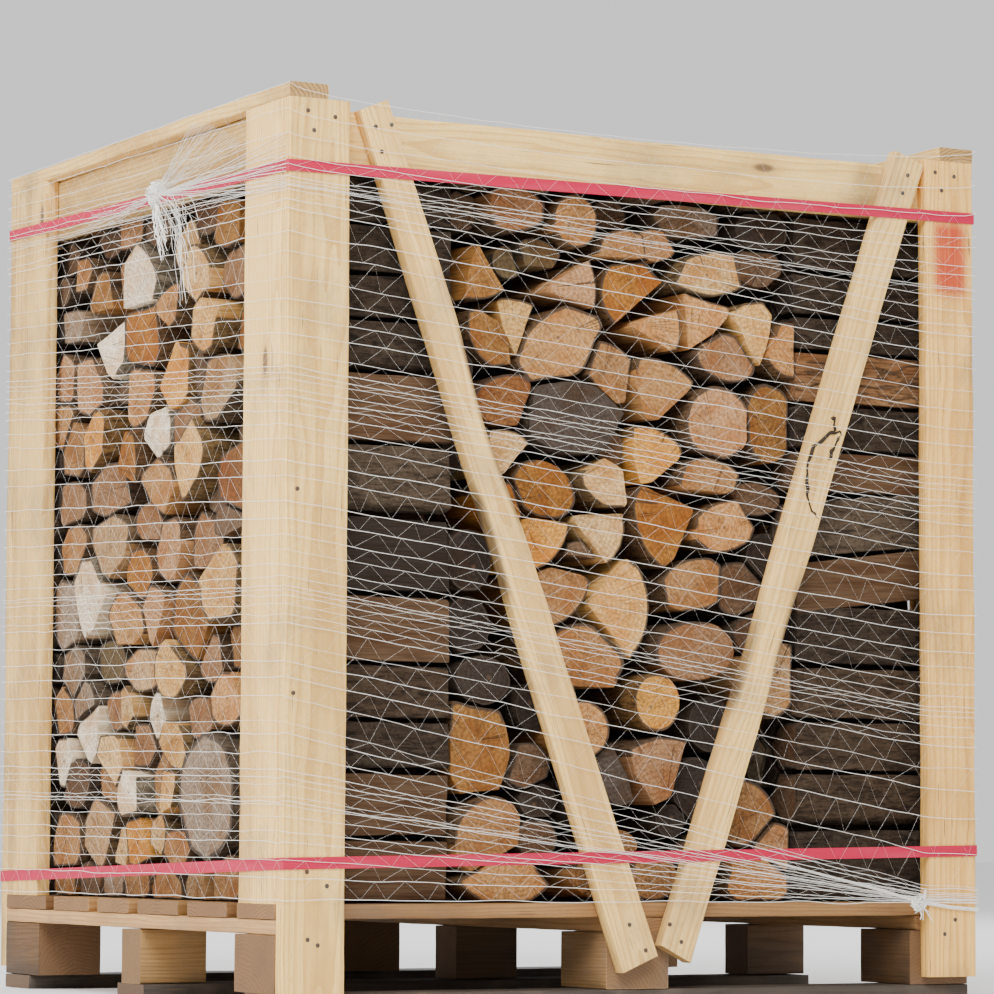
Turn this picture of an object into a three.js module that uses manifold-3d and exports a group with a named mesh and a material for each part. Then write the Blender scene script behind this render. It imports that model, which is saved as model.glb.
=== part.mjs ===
// A crate of split firewood on a flat wooden pallet: corner posts of two planks each, flat top rails,
// V-shaped braces, two bands round the whole crate and a stretched net over everything.
// Millimetres, +Z up, front towards -Y. The origin is under the middle of the crate, on the ground.
import * as THREE from 'three';
import { mergeVertices } from 'three/addons/utils/BufferGeometryUtils.js';
import Module from 'manifold-3d';

const wasm = await Module();
wasm.setup();

// Pallet
const LENGTH = 1200;
const DEPTH = 1000;
const BOARD = 22;
const BOTTOM_BOARD_WIDTH = 100;
const BLOCK_HEIGHT = 84;
const BLOCK_LENGTH = 110;
const BLOCK_DEPTH = 135;
const MIDDLE_BLOCK_DEPTH = 70;
const STRINGER_WIDTH = 98;
const DECK_WIDTHS = [128, 138, 150, 120, 140, 165];

// Frame of the crate
const PLANK = 24;
const POST_TOP = 1309;
const FRONT_PLANK_WIDTH = 100;
const RIGHT_PLANK_WIDTH = 90;
const RIGHT_PLANK_LIFT = 34;
const SIDE_PLANK_WIDTH = 124;
const RAIL_WIDTH = 64;
const RAIL_THICKNESS = 22;
const TOP_BOARD_LOW = 1214;
const TOP_BOARD_HIGH = 1299;

// Bands, net and its ties
const BAND_WIDTH = 17;
const BAND_THICKNESS = 1.2;
const BAND_GAP = 0.3;
const UPPER_BAND_HEIGHT = 1209;
const LOWER_BAND_HEIGHT = 207;
const NET_THICKNESS = 2.2;
const NET_OFFSET = 2.2;
const NET_LOW = 156;
const NET_HIGH = 1331;
const NET_STRAND = 9;
const NET_ROWS = 5;
const NET_FRONT_COLUMNS = 3;
const NET_SIDE_COLUMNS = 2;
const NET_CORNER = 8;
const NET_SAG = [
  [60, 1400], [60, 1322], [220, 1308], [400, 1302], [800, 1302], [980, 1310], [1140, 1325], [1140, 1400],
];
const KNOT_DEPTH = 12.3;
const KNOT_AT = { y: 440, z: 1218, stretch: 1.6 };
const TAIL_AT = { y: 430, z: 1178, stretch: 1.8 };
const ROUND_SIDES = 8;
const TIE_ROPE = [[1010, 155.5], [1075, 153], [1204, 141], [1204, 132], [1075, 139], [1010, 147]];
const TIE_ROPE_THICKNESS = 4;
const TIE_KNOT_SIZE = [17, 9, 12];
const TIE_KNOT_AT = [1088, -19, 147];
const UPPER_BAND_CLIMB = { right: 13 / LENGTH, back: 26 / DEPTH };
const LOWER_BAND_CLIMB = { right: 21 / LENGTH, back: -27 / DEPTH };

// Firewood
const LOG_LENGTH = 285;
const SIDE_LOG_LENGTH = 262;
const SIDE_LOG_PLANE = 36;
const FRONT_LOG_PLANE = 35;
const END_SCATTER = 20;
const LOG_GAP = 3;
const LOWEST_LOG = 0.4;
const STACK_TOP = 1288;
const CENTRE_LEFT = 304;
const CENTRE_RIGHT = 898;
const SIDE_MARGIN = 26;
const RELIEF = 34;
const ARC_STEP = 48;
const OVAL_SIDES = 6;
const OVAL_SWELL = 1.04;
const SHORTEST_EDGE = 15;
const SMALLEST_LOG_AREA = 700;
const NEIGHBOUR_REACH = 260;
const BLOCK_BELOW_TOP = 36;
const OUTER_TOP = 30;
const OUTER_SIDE = 12;
const CENTRE_INSET = 10;
const SIDE_INSET = 56;
const TOP_ROW_REACH = 60;
const POCKET_PLAY = 1;
const FRONT_ROW_FROM_REAR = 932;
const REAR_ROW_FROM_REAR = 62;

const deckTop = BOARD * 3 + BLOCK_HEIGHT;

const colour = {
  plank: 0xdcc698,
  rail: 0xcdb384,
  palletWood: 0xb58a56,
  darkWood: 0x6d5640,
  band: 0xcc4a64,
  net: 0xf2efe6,
  log: 0xb98a58,
};

const crate = new THREE.Group();
crate.position.set(-LENGTH / 2, -DEPTH / 2, 0);

function finish(hex, roughness = 0.8) {
  return new THREE.MeshStandardMaterial({ color: hex, roughness, metalness: 0 });
}

function place(name, geometry, material) {
  const mesh = new THREE.Mesh(geometry, material);
  mesh.name = name;
  crate.add(mesh);
  return mesh;
}

// A straight-sawn piece between two corners.
function timber(name, low, high, hex) {
  const size = high.map((value, axis) => value - low[axis]);
  const mesh = place(name, new THREE.BoxGeometry(...size), finish(hex));
  mesh.position.set(...low.map((value, axis) => value + size[axis] / 2));
}

function toSolid(geometry) {
  const bare = geometry.index ? geometry.toNonIndexed() : geometry.clone();
  bare.deleteAttribute('normal');
  bare.deleteAttribute('uv');
  const merged = mergeVertices(bare, 1e-4);
  return new wasm.Manifold(new wasm.Mesh({
    numProp: 3,
    vertProperties: Float32Array.from(merged.attributes.position.array),
    triVerts: Uint32Array.from(merged.index.array),
  }));
}

function toGeometry(solid) {
  const mesh = solid.getMesh();
  const geometry = new THREE.BufferGeometry();
  geometry.setAttribute('position', new THREE.BufferAttribute(new Float32Array(mesh.vertProperties), 3));
  geometry.setIndex(new THREE.BufferAttribute(new Uint32Array(mesh.triVerts), 1));
  return geometry;
}

function boxSolid(low, high) {
  const size = high.map((value, axis) => value - low[axis]);
  const geometry = new THREE.BoxGeometry(...size);
  geometry.translate(...low.map((value, axis) => value + size[axis] / 2));
  return toSolid(geometry);
}

// An outline given in X and Z, drawn out along Y from one depth to another.
function alongY(outline, from, to) {
  const shape = new THREE.Shape(outline.map(([x, z]) => new THREE.Vector2(x, z)));
  const geometry = new THREE.ExtrudeGeometry(shape, { depth: to - from, bevelEnabled: false });
  geometry.rotateX(Math.PI / 2);
  geometry.translate(0, to, 0);
  return geometry;
}

// Pallet: three bottom boards, nine blocks, three stringers and the deck.
function pallet() {
  const rows = [['front', 0, BLOCK_DEPTH], ['middle', 0.5, MIDDLE_BLOCK_DEPTH], ['rear', 1, BLOCK_DEPTH]];
  const columns = [['left', 0], ['centre', 0.5], ['right', 1]];
  for (const [row, share, blockDepth] of rows) {
    const board = share * (DEPTH - BOTTOM_BOARD_WIDTH);
    const boardHigh = [LENGTH, board + BOTTOM_BOARD_WIDTH, BOARD];
    timber(`bottom_board_${row}`, [0, board, 0], boardHigh, colour.darkWood);
    const from = share * (DEPTH - blockDepth);
    for (const [column, across] of columns) {
      const left = across * (LENGTH - BLOCK_LENGTH);
      const high = [left + BLOCK_LENGTH, from + blockDepth, BOARD + BLOCK_HEIGHT];
      timber(`block_${row}_${column}`, [left, from, BOARD], high, colour.palletWood);
    }
  }
  const stringerLow = BOARD + BLOCK_HEIGHT;
  for (const [column, across] of columns) {
    const from = across * (LENGTH - STRINGER_WIDTH);
    const low = [from, 0, stringerLow];
    const high = [from + STRINGER_WIDTH, DEPTH, stringerLow + BOARD];
    timber(`stringer_${column}`, low, high, colour.palletWood);
  }
  const covered = DECK_WIDTHS.reduce((sum, width) => sum + width, 0);
  const gap = (DEPTH - covered) / (DECK_WIDTHS.length - 1);
  let front = 0;
  DECK_WIDTHS.forEach((width, index) => {
    const low = [0, front, deckTop - BOARD];
    const high = [LENGTH, front + width, deckTop];
    timber(`deck_board_${index + 1}`, low, high, colour.palletWood);
    front += width + gap;
  });
}

// Corner posts: each a plank on the front or rear face and a plank on the side face.
function posts() {
  const faces = [['front', -PLANK, 0], ['rear', DEPTH, DEPTH + PLANK]];
  for (const [face, from, to] of faces) {
    const wideOnLeft = face === 'front';
    const leftWidth = wideOnLeft ? FRONT_PLANK_WIDTH : RIGHT_PLANK_WIDTH;
    const rightWidth = wideOnLeft ? RIGHT_PLANK_WIDTH : FRONT_PLANK_WIDTH;
    const leftFoot = wideOnLeft ? 0 : RIGHT_PLANK_LIFT;
    const rightFoot = wideOnLeft ? RIGHT_PLANK_LIFT : 0;
    timber(`post_${face}_left_face`, [0, from, leftFoot], [leftWidth, to, POST_TOP], colour.plank);
    const right = LENGTH - rightWidth;
    timber(`post_${face}_right_face`, [right, from, rightFoot], [LENGTH, to, POST_TOP], colour.plank);
  }
  const ends = [['front', 0, SIDE_PLANK_WIDTH], ['rear', DEPTH - SIDE_PLANK_WIDTH, DEPTH]];
  for (const [face, from, to] of ends) {
    timber(`post_${face}_left_side`, [0, from, deckTop], [PLANK, to, POST_TOP], colour.plank);
    timber(`post_${face}_right_side`, [LENGTH - PLANK, from, deckTop], [LENGTH, to, POST_TOP], colour.plank);
  }
}

// Flat rails on top of the posts, and boards on edge between them under the rails.
function topFrame() {
  const railTop = POST_TOP + RAIL_THICKNESS;
  timber('top_rail_left', [0, -PLANK, POST_TOP], [RAIL_WIDTH, DEPTH + PLANK, railTop], colour.rail);
  const railRight = LENGTH - RAIL_WIDTH;
  timber('top_rail_right', [railRight, -PLANK, POST_TOP], [LENGTH, DEPTH + PLANK, railTop], colour.rail);
  const innerRight = LENGTH - PLANK;
  const back = DEPTH - PLANK;
  const low = TOP_BOARD_LOW;
  timber('top_board_front', [PLANK, 0, low], [innerRight, PLANK, TOP_BOARD_HIGH], colour.plank);
  timber('top_board_rear', [PLANK, back, low], [innerRight, DEPTH, TOP_BOARD_HIGH], colour.plank);
  timber('top_board_left', [PLANK, PLANK, low], [PLANK + BOARD, back, POST_TOP], colour.plank);
  timber('top_board_right', [innerRight - BOARD, PLANK, low], [innerRight, back, POST_TOP], colour.plank);
}

// Two braces that meet in a V over the middle block, and the same pair turned round on the rear.
function braces() {
  const outlines = {
    left: [[115, 1298], [560, 46], [622, 72], [161, 1318]],
    right: [[1054, 1318], [628, 87], [680, 60], [1108, 1299]],
  };
  for (const [side, outline] of Object.entries(outlines)) {
    place(`brace_front_${side}`, alongY(outline, -PLANK, 0), finish(colour.plank));
    const turned = outline.map(([x, z]) => [LENGTH - x, z]);
    const other = side === 'left' ? 'right' : 'left';
    place(`brace_rear_${other}`, alongY(turned, DEPTH, DEPTH + PLANK), finish(colour.plank));
  }
}

// A rounded rectangle round the crate at a distance from the plank faces.
function roundOutline(distance, path) {
  const left = -distance;
  const right = LENGTH + distance;
  const front = -PLANK - distance;
  const rear = DEPTH + PLANK + distance;
  const radius = distance;
  path.moveTo(left + radius, front);
  path.lineTo(right - radius, front);
  path.absarc(right - radius, front + radius, radius, -Math.PI / 2, 0);
  path.lineTo(right, rear - radius);
  path.absarc(right - radius, rear - radius, radius, 0, Math.PI / 2);
  path.lineTo(left + radius, rear);
  path.absarc(left + radius, rear - radius, radius, Math.PI / 2, Math.PI);
  path.lineTo(left, front + radius);
  path.absarc(left + radius, front + radius, radius, Math.PI, Math.PI * 1.5);
  return path;
}

function sleeve(inner, thickness, low, high) {
  const shape = roundOutline(inner + thickness, new THREE.Shape());
  shape.holes.push(roundOutline(inner, new THREE.Path()));
  const geometry = new THREE.ExtrudeGeometry(shape, {
    depth: high - low,
    bevelEnabled: false,
    curveSegments: 2,
  });
  geometry.translate(0, 0, low);
  return geometry;
}

// Each band lies a little out of level: it climbs towards the right and towards the rear.
function band(name, height, climb) {
  const geometry = sleeve(BAND_GAP, BAND_THICKNESS, height - BAND_WIDTH / 2, height + BAND_WIDTH / 2);
  const shear = new THREE.Matrix4().set(
    1, 0, 0, 0,
    0, 1, 0, 0,
    climb.right, climb.back, 1, 0,
    0, 0, 0, 1,
  );
  geometry.applyMatrix4(shear);
  place(name, geometry, finish(colour.band, 0.5));
}

// The stretched net as a sleeve of level strands, with open windows between them.
function net() {
  let solid = toSolid(sleeve(NET_OFFSET, NET_THICKNESS, NET_LOW, NET_HIGH));
  const far = 60;
  const windows = [];
  const pitch = (NET_HIGH - NET_LOW - NET_STRAND) / NET_ROWS;
  const across = (LENGTH - 2 * NET_CORNER + NET_STRAND) / NET_FRONT_COLUMNS;
  const back = (DEPTH + NET_STRAND) / NET_SIDE_COLUMNS;
  for (let row = 0; row < NET_ROWS; row += 1) {
    const low = NET_LOW + NET_STRAND + row * pitch;
    const high = low + pitch - NET_STRAND;
    for (let column = 0; column < NET_FRONT_COLUMNS; column += 1) {
      const left = NET_CORNER + column * across;
      windows.push(boxSolid([left, -far, low], [left + across - NET_STRAND, DEPTH + far, high]));
    }
    for (let column = 0; column < NET_SIDE_COLUMNS; column += 1) {
      const front = column * back;
      windows.push(boxSolid([-far, front, low], [LENGTH + far, front + back - NET_STRAND, high]));
    }
  }
  for (const [from, to] of [[-far, -PLANK], [DEPTH + PLANK, DEPTH + far]]) {
    windows.push(toSolid(alongY(NET_SAG, from, to)));
  }
  for (const window of windows) {
    solid = solid.subtract(window);
  }
  place('net', toGeometry(solid), finish(colour.net, 0.6));
}

// A lump lathed about a line along Z and stretched along Y, between the left face and the logs.
function lump(profile, at) {
  const points = profile.map(([radius, height]) => new THREE.Vector2(radius, height));
  const geometry = new THREE.LatheGeometry(points, ROUND_SIDES);
  geometry.rotateX(Math.PI / 2);
  geometry.scale(1, at.stretch, 1);
  geometry.translate(KNOT_DEPTH, at.y, at.z);
  return toSolid(geometry);
}

// The net's end gathered in a knot on the left face, with a loose tail under it.
function netKnot() {
  const knot = lump([[0, -24], [10, -20], [11, -6], [8, 8], [10, 18], [7, 26], [0, 30]], KNOT_AT);
  const tail = lump([[0, -46], [6, -40], [9, 0], [4, 38], [0, 42]], TAIL_AT);
  place('net_knot', toGeometry(knot.add(tail)), finish(colour.net, 0.6));
}

// The net's lower edge drawn together into a rope that is tied off over the right post.
function netTie() {
  const tie = toSolid(alongY(TIE_ROPE, -PLANK - TIE_ROPE_THICKNESS, -PLANK - BAND_GAP));
  const knot = new THREE.SphereGeometry(1, ROUND_SIDES, ROUND_SIDES - 2);
  knot.scale(...TIE_KNOT_SIZE);
  knot.translate(...TIE_KNOT_AT);
  place('net_tie', toGeometry(tie.add(toSolid(knot))), finish(colour.net, 0.6));
}

// End outlines of the logs, seen from outside with X to the right and Z up, in degrees from +X.
const radians = (degrees) => degrees * Math.PI / 180;
const scatter = (index, turn) => {
  const value = Math.sin(index * 12.9898 + turn * 78.233) * 43758.5453;
  return value - Math.floor(value);
};

function arc(x, z, radius, from, to) {
  const steps = Math.max(2, Math.round((to - from) / ARC_STEP));
  return Array.from({ length: steps + 1 }, (_, step) => {
    const angle = radians(from + (to - from) * step / steps);
    return [x + radius * Math.cos(angle), z + radius * Math.sin(angle)];
  });
}

// A log split to its heart: two flat faces that meet, and a stretch of bark.
function wedge(x, z, radius, from, to, more = {}) {
  const outline = [[x, z], ...arc(x, z, radius, from, to)];
  return { outline, ...more };
}

// A log split off beside its heart: one flat face and a stretch of bark.
function slab(x, z, radius, from, to) {
  return { outline: arc(x, z, radius, from, to) };
}

// A whole log, round or flattened, with its long way turned up by tilt.
function oval(x, z, long, short, tilt = 0, more = {}) {
  const cos = Math.cos(radians(tilt));
  const sin = Math.sin(radians(tilt));
  const outline = Array.from({ length: OVAL_SIDES }, (_, side) => {
    const angle = radians((side + 0.5) * 360 / OVAL_SIDES);
    const along = long * Math.cos(angle) * OVAL_SWELL;
    const across = short * Math.sin(angle) * OVAL_SWELL;
    return [x + along * cos - across * sin, z + along * sin + across * cos];
  });
  return { outline, ...more };
}

// Ends of the middle column seen from the front, from the top of the stack down.
const frontLogs = [
  oval(352, 1246, 44, 34, 10), oval(448, 1250, 46, 32, -8), slab(548, 1232, 52, 0, 180),
  oval(646, 1248, 48, 33), slab(748, 1226, 56, 8, 172), oval(846, 1246, 46, 34, 12),
  oval(400, 1184, 54, 34, 4), oval(507, 1172, 36, 38), slab(595, 1098, 66, 22, 158),
  wedge(450, 1066, 93, -13, 29), slab(614, 1070, 55, 25, 235), wedge(332, 1138, 94, 264, 304),
  wedge(405, 948, 100, 58, 103), wedge(391, 1006, 64, 158, 278),
  oval(487, 982, 86, 54, 38, { name: 'log_front_broad_round' }), oval(565, 948, 58, 42, -20),
  wedge(640, 862, 114, 42, 112, { name: 'log_front_heart' }),
  oval(508, 874, 106, 56, -3, { name: 'log_front_weathered' }), wedge(402, 848, 84, 68, 160),
  wedge(385, 786, 64, 48, 130), oval(460, 765, 58, 44, -22, { name: 'log_front_amber' }),
  wedge(588, 822, 82, 195, 276), oval(393, 738, 34, 34), oval(275, 736, 32, 28),
  wedge(418, 716, 74, -77, 12), wedge(502, 726, 96, -46, 4), wedge(444, 650, 92, -74, -10),
  wedge(532, 595, 114, -46, 48, { name: 'log_front_pale_quarter' }), slab(525, 490, 72, -12, 192),
  oval(520, 405, 47, 44), oval(651, 450, 43, 46, 0, { name: 'log_front_small_round' }),
  oval(720, 530, 72, 47, 2, { name: 'log_front_broad_half' }), oval(730, 632, 64, 37, 12),
  wedge(722, 748, 114, 162, 246, { name: 'log_front_orange_quarter' }), oval(778, 722, 64, 36, 18),
  slab(745, 755, 70, 14, 160), wedge(635, 775, 92, 38, 111),
  oval(765, 880, 60, 60, 0, { name: 'log_front_beige_half' }), oval(862, 886, 42, 58),
  oval(893, 1001, 47, 42, -10), wedge(846, 950, 120, 83, 119), wedge(718, 978, 107, 46, 95),
  oval(778, 982, 54, 34, -12), wedge(600, 1022, 88, -27, 17), oval(755, 1110, 70, 32, 8),
  oval(350, 378, 80, 50, 100), oval(430, 352, 38, 32), oval(362, 250, 57, 49, 40),
  slab(395, 242, 96, 200, 340), wedge(668, 277, 118, 73, 128), oval(815, 284, 57, 48, -20),
  oval(868, 230, 42, 38), slab(840, 222, 78, 188, 352), wedge(926, 304, 112, 90, 133),
  oval(862, 492, 60, 46, 75),
];

// Ends of the side column seen from the left, measured from the rear corner towards the front.
const sideLogs = [
  oval(70, 1244, 44, 34), slab(160, 1224, 50, 4, 176), oval(254, 1246, 44, 33, -6),
  oval(350, 1248, 48, 32, 8), slab(448, 1226, 52, 4, 176), oval(546, 1246, 46, 34),
  oval(640, 1248, 46, 32, -8), slab(738, 1228, 50, 0, 180), oval(832, 1244, 44, 34, 8),
  oval(925, 1246, 44, 34), oval(725, 1166, 64, 30, -4), oval(640, 1098, 54, 32, -35),
  slab(690, 1046, 66, 168, 348), oval(712, 918, 86, 40, 4), wedge(490, 918, 122, -8, 50),
  oval(428, 1026, 62, 48, -20), oval(528, 1058, 58, 24, 18), wedge(412, 888, 128, -33, 6),
  oval(620, 822, 66, 44, 38), oval(762, 780, 48, 54), oval(745, 622, 72, 50, -40),
  slab(270, 1072, 66, 12, 166), wedge(382, 1070, 102, 0, 88), oval(360, 1198, 68, 22),
  oval(170, 1066, 62, 22, -2), wedge(222, 1020, 118, -27, 14), oval(133, 980, 46, 36),
  oval(240, 962, 64, 38, -6), oval(415, 932, 66, 38, 12), oval(128, 908, 50, 34, -8),
  oval(180, 866, 48, 42, 10), oval(265, 874, 49, 41), wedge(343, 828, 84, -18, 38),
  oval(310, 792, 80, 35, -3), oval(528, 782, 80, 30, -26), oval(472, 728, 50, 29),
  oval(535, 686, 50, 42), oval(328, 702, 86, 41, -9), oval(176, 704, 62, 34),
  wedge(248, 566, 110, 46, 130), oval(158, 600, 50, 60), slab(390, 556, 66, -6, 182),
  oval(430, 652, 62, 32), wedge(488, 542, 82, 52, 118), oval(615, 576, 108, 44, -28),
  oval(575, 503, 54, 40), oval(748, 450, 48, 34), oval(704, 302, 118, 74, 36),
  oval(562, 390, 64, 27, -32), oval(552, 316, 24, 42, -20), oval(415, 312, 38, 36),
  oval(338, 366, 46, 34, -32), oval(312, 328, 44, 26), wedge(272, 354, 104, 88, 142),
  oval(155, 365, 36, 34), oval(208, 328, 50, 32), oval(152, 446, 44, 34), oval(335, 441, 38, 26),
  oval(392, 446, 34, 28), oval(488, 430, 24, 30), oval(432, 386, 64, 27), oval(290, 252, 64, 46),
  oval(166, 236, 60, 38), oval(360, 222, 22, 32, 0), oval(425, 236, 56, 31), oval(506, 246, 24, 30),
  oval(590, 226, 56, 24), oval(552, 172, 52, 24), oval(352, 172, 38, 20), oval(440, 174, 46, 22),
  oval(262, 176, 46, 24), oval(168, 174, 44, 24), oval(654, 176, 46, 26), oval(748, 182, 46, 30),
];

// Logs lying against the front posts, and against the rear posts, as heights and half heights.
const frontRow = [[1178, 33], [1106, 36], [1036, 32], [968, 34], [872, 56], [776, 44], [655, 50], [546, 44], [455, 38],
  [380, 34], [296, 46], [196, 42]];
const rearRow = [[1170, 42], [1084, 36], [1040, 20], [962, 42], [882, 34], [815, 28], [735, 48], [648, 38], [560, 46],
  [470, 42], [388, 38], [312, 36], [208, 52]];
for (const [height, half] of frontRow) {
  sideLogs.push(oval(FRONT_ROW_FROM_REAR, height, 40, half));
}
for (const [height, half] of rearRow) {
  sideLogs.push(oval(REAR_ROW_FROM_REAR, height, 38, half));
}

// Each log keeps to its own side of the lines between it and its neighbours.
function centreOf(outline) {
  let area = 0;
  let x = 0;
  let z = 0;
  outline.forEach(([ax, az], index) => {
    const [bx, bz] = outline[(index + 1) % outline.length];
    const cross = ax * bz - bx * az;
    area += cross / 2;
    x += (ax + bx) * cross / 6;
    z += (az + bz) * cross / 6;
  });
  return { x: x / area, z: z / area, area: Math.abs(area) };
}

// Keeps the part of an outline where nx * x + nz * z stays under a limit.
function trim(outline, nx, nz, limit) {
  const kept = [];
  outline.forEach((point, index) => {
    const next = outline[(index + 1) % outline.length];
    const here = nx * point[0] + nz * point[1] - limit;
    const there = nx * next[0] + nz * next[1] - limit;
    if (here <= 0) {
      kept.push(point);
    }
    if (here * there < 0) {
      const share = here / (here - there);
      kept.push([point[0] + (next[0] - point[0]) * share, point[1] + (next[1] - point[1]) * share]);
    }
  });
  return kept;
}

function withoutShortEdges(outline, shortest) {
  const kept = [];
  for (const point of outline) {
    const last = kept[kept.length - 1];
    if (!last || Math.hypot(point[0] - last[0], point[1] - last[1]) > shortest) {
      kept.push(point);
    }
  }
  const [first, last] = [kept[0], kept[kept.length - 1]];
  if (kept.length > 1 && Math.hypot(first[0] - last[0], first[1] - last[1]) <= shortest) {
    kept.pop();
  }
  return kept;
}

function settle(logs, left, right, bottom, top) {
  const centres = logs.map((log) => centreOf(log.outline));
  const settled = logs.map((log, index) => {
    const own = centres[index];
    let outline = log.outline;
    centres.forEach((other, position) => {
      const apart = Math.hypot(other.x - own.x, other.z - own.z);
      if (position === index || apart > NEIGHBOUR_REACH) {
        return;
      }
      const nx = (other.x - own.x) / apart;
      const nz = (other.z - own.z) / apart;
      const share = apart / 2 + (own.area - other.area) / Math.PI / 2 / apart;
      outline = trim(outline, nx, nz, nx * own.x + nz * own.z + share - LOG_GAP / 2);
    });
    outline = trim(outline, -1, 0, -left);
    outline = trim(outline, 1, 0, right);
    outline = trim(outline, 0, -1, -bottom);
    outline = trim(outline, 0, 1, top);
    return { ...log, outline: withoutShortEdges(outline, SHORTEST_EDGE) };
  });
  return settled.filter((log) => log.outline.length > 2 && centreOf(log.outline).area > SMALLEST_LOG_AREA);
}

function reachOf(outline) {
  const xs = outline.map(([x]) => x);
  const zs = outline.map(([, z]) => z);
  return { left: Math.min(...xs), right: Math.max(...xs), low: Math.min(...zs), high: Math.max(...zs) };
}

// A stack of logs along Y with its ends towards -Y: the ends stand out of the stack, each by its own
// amount, and the logs on the top and on the outer sides are drawn out at full length.
function stack(logs, plane, options) {
  const { left, right, top, length, seed, boardBack } = options;
  const own = [];
  const blockLeft = left + options.inset;
  const blockRight = right - options.inset;
  const blockLow = [blockLeft, plane + RELIEF, deckTop + LOWEST_LOG];
  let solid = boxSolid(blockLow, [blockRight, plane + length, top - BLOCK_BELOW_TOP]);
  logs.forEach((log, index) => {
    const reach = reachOf(log.outline);
    const behindBoard = reach.high > TOP_BOARD_LOW ? boardBack + BAND_GAP : 0;
    const start = Math.max(plane + (scatter(index, seed) - 0.5) * END_SCATTER, behindBoard);
    const atSide = reach.left < left + OUTER_SIDE || reach.right > right - OUTER_SIDE;
    const outer = atSide || reach.high > top - OUTER_TOP;
    const end = outer || log.name ? plane + length - 0.5 : plane + RELIEF + 6;
    if (log.name && options.named) {
      own.push({ name: log.name, solid: toSolid(alongY(log.outline, start, end)) });
      const grown = log.outline.map(([x, z]) => {
        const centre = centreOf(log.outline);
        const share = POCKET_PLAY / Math.hypot(x - centre.x, z - centre.z);
        return [x + (x - centre.x) * share, z + (z - centre.z) * share];
      });
      solid = solid.subtract(toSolid(alongY(grown, start - POCKET_PLAY, end + PLANK)));
    } else {
      solid = solid.add(toSolid(alongY(log.outline, Math.min(start, plane + RELIEF), end)));
    }
  });
  return { solid, own };
}

function turned(geometry, angle, x, y) {
  geometry.rotateZ(angle);
  geometry.translate(x, y, 0);
  return geometry;
}

function firewood() {
  const top = STACK_TOP;
  const low = deckTop + LOWEST_LOG;
  const front = settle(frontLogs, CENTRE_LEFT, CENTRE_RIGHT, low, top);
  const side = settle(sideLogs, SIDE_MARGIN, DEPTH - SIDE_MARGIN, low, top);
  const wood = () => finish(colour.log, 0.9);

  const centreOptions = {
    boardBack: PLANK,
    left: CENTRE_LEFT,
    right: CENTRE_RIGHT,
    top,
    inset: CENTRE_INSET,
    length: LOG_LENGTH,
  };
  const centre = stack(front, FRONT_LOG_PLANE, { ...centreOptions, seed: 1, named: true });
  place('firewood_front', toGeometry(centre.solid), wood());
  for (const { name, solid } of centre.own) {
    place(name, toGeometry(solid), wood());
  }
  const rear = stack(front, FRONT_LOG_PLANE, { ...centreOptions, seed: 2, named: false });
  place('firewood_rear', turned(toGeometry(rear.solid), Math.PI, LENGTH, DEPTH), wood());

  const topRow = front.filter((log) => reachOf(log.outline).high > top - TOP_ROW_REACH);
  const middle = stack(topRow, (DEPTH - LOG_LENGTH) / 2, { ...centreOptions, seed: 3, named: false });
  place('firewood_middle', toGeometry(middle.solid), wood());

  const sideOptions = {
    boardBack: PLANK + BOARD,
    left: SIDE_MARGIN,
    right: DEPTH - SIDE_MARGIN,
    top,
    inset: SIDE_INSET,
    length: SIDE_LOG_LENGTH,
    named: false,
  };
  const left = stack(side, SIDE_LOG_PLANE, { ...sideOptions, seed: 4 });
  place('firewood_left', turned(toGeometry(left.solid), -Math.PI / 2, 0, DEPTH), wood());
  const right = stack(side, SIDE_LOG_PLANE, { ...sideOptions, seed: 5 });
  place('firewood_right', turned(toGeometry(right.solid), Math.PI / 2, LENGTH, 0), wood());
}

pallet();
posts();
topFrame();
braces();
band('band_upper', UPPER_BAND_HEIGHT, UPPER_BAND_CLIMB);
band('band_lower', LOWER_BAND_HEIGHT, LOWER_BAND_CLIMB);
net();
netKnot();
netTie();
firewood();

export default crate;
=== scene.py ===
"""Dresses a crate of split alder firewood on a pallet: sawn timber, logs, bands and a stretched net."""

import math

import bpy
import numpy as np
from mathutils import Matrix, Vector


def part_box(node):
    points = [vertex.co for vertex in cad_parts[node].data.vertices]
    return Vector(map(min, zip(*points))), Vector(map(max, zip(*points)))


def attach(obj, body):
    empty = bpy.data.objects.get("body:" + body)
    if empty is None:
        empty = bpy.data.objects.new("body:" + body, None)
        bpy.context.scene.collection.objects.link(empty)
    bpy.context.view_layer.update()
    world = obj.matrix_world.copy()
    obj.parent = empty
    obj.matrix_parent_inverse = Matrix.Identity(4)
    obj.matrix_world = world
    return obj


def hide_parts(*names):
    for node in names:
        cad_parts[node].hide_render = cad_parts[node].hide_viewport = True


bl_info = {
    "name": "Pallet of alder firewood",
    "version": (1, 0, 0),
    "blender": (4, 5, 0),
    "location": "View3D > Sidebar > Firewood",
    "description": "Dresses a crate of split alder logs on a pallet, under bands and a stretched net",
    "category": "Object",
}

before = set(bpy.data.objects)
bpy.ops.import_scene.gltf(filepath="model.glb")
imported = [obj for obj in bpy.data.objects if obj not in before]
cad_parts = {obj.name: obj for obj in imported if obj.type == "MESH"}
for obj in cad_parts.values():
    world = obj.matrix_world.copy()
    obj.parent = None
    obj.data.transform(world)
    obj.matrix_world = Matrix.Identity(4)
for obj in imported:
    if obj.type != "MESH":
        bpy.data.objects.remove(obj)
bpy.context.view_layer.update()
BODY = "root"
MM = 0.001
UP = (0.0, 0.0, 1.0)
FORWARD = (0.0, -1.0, 0.0)

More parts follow.
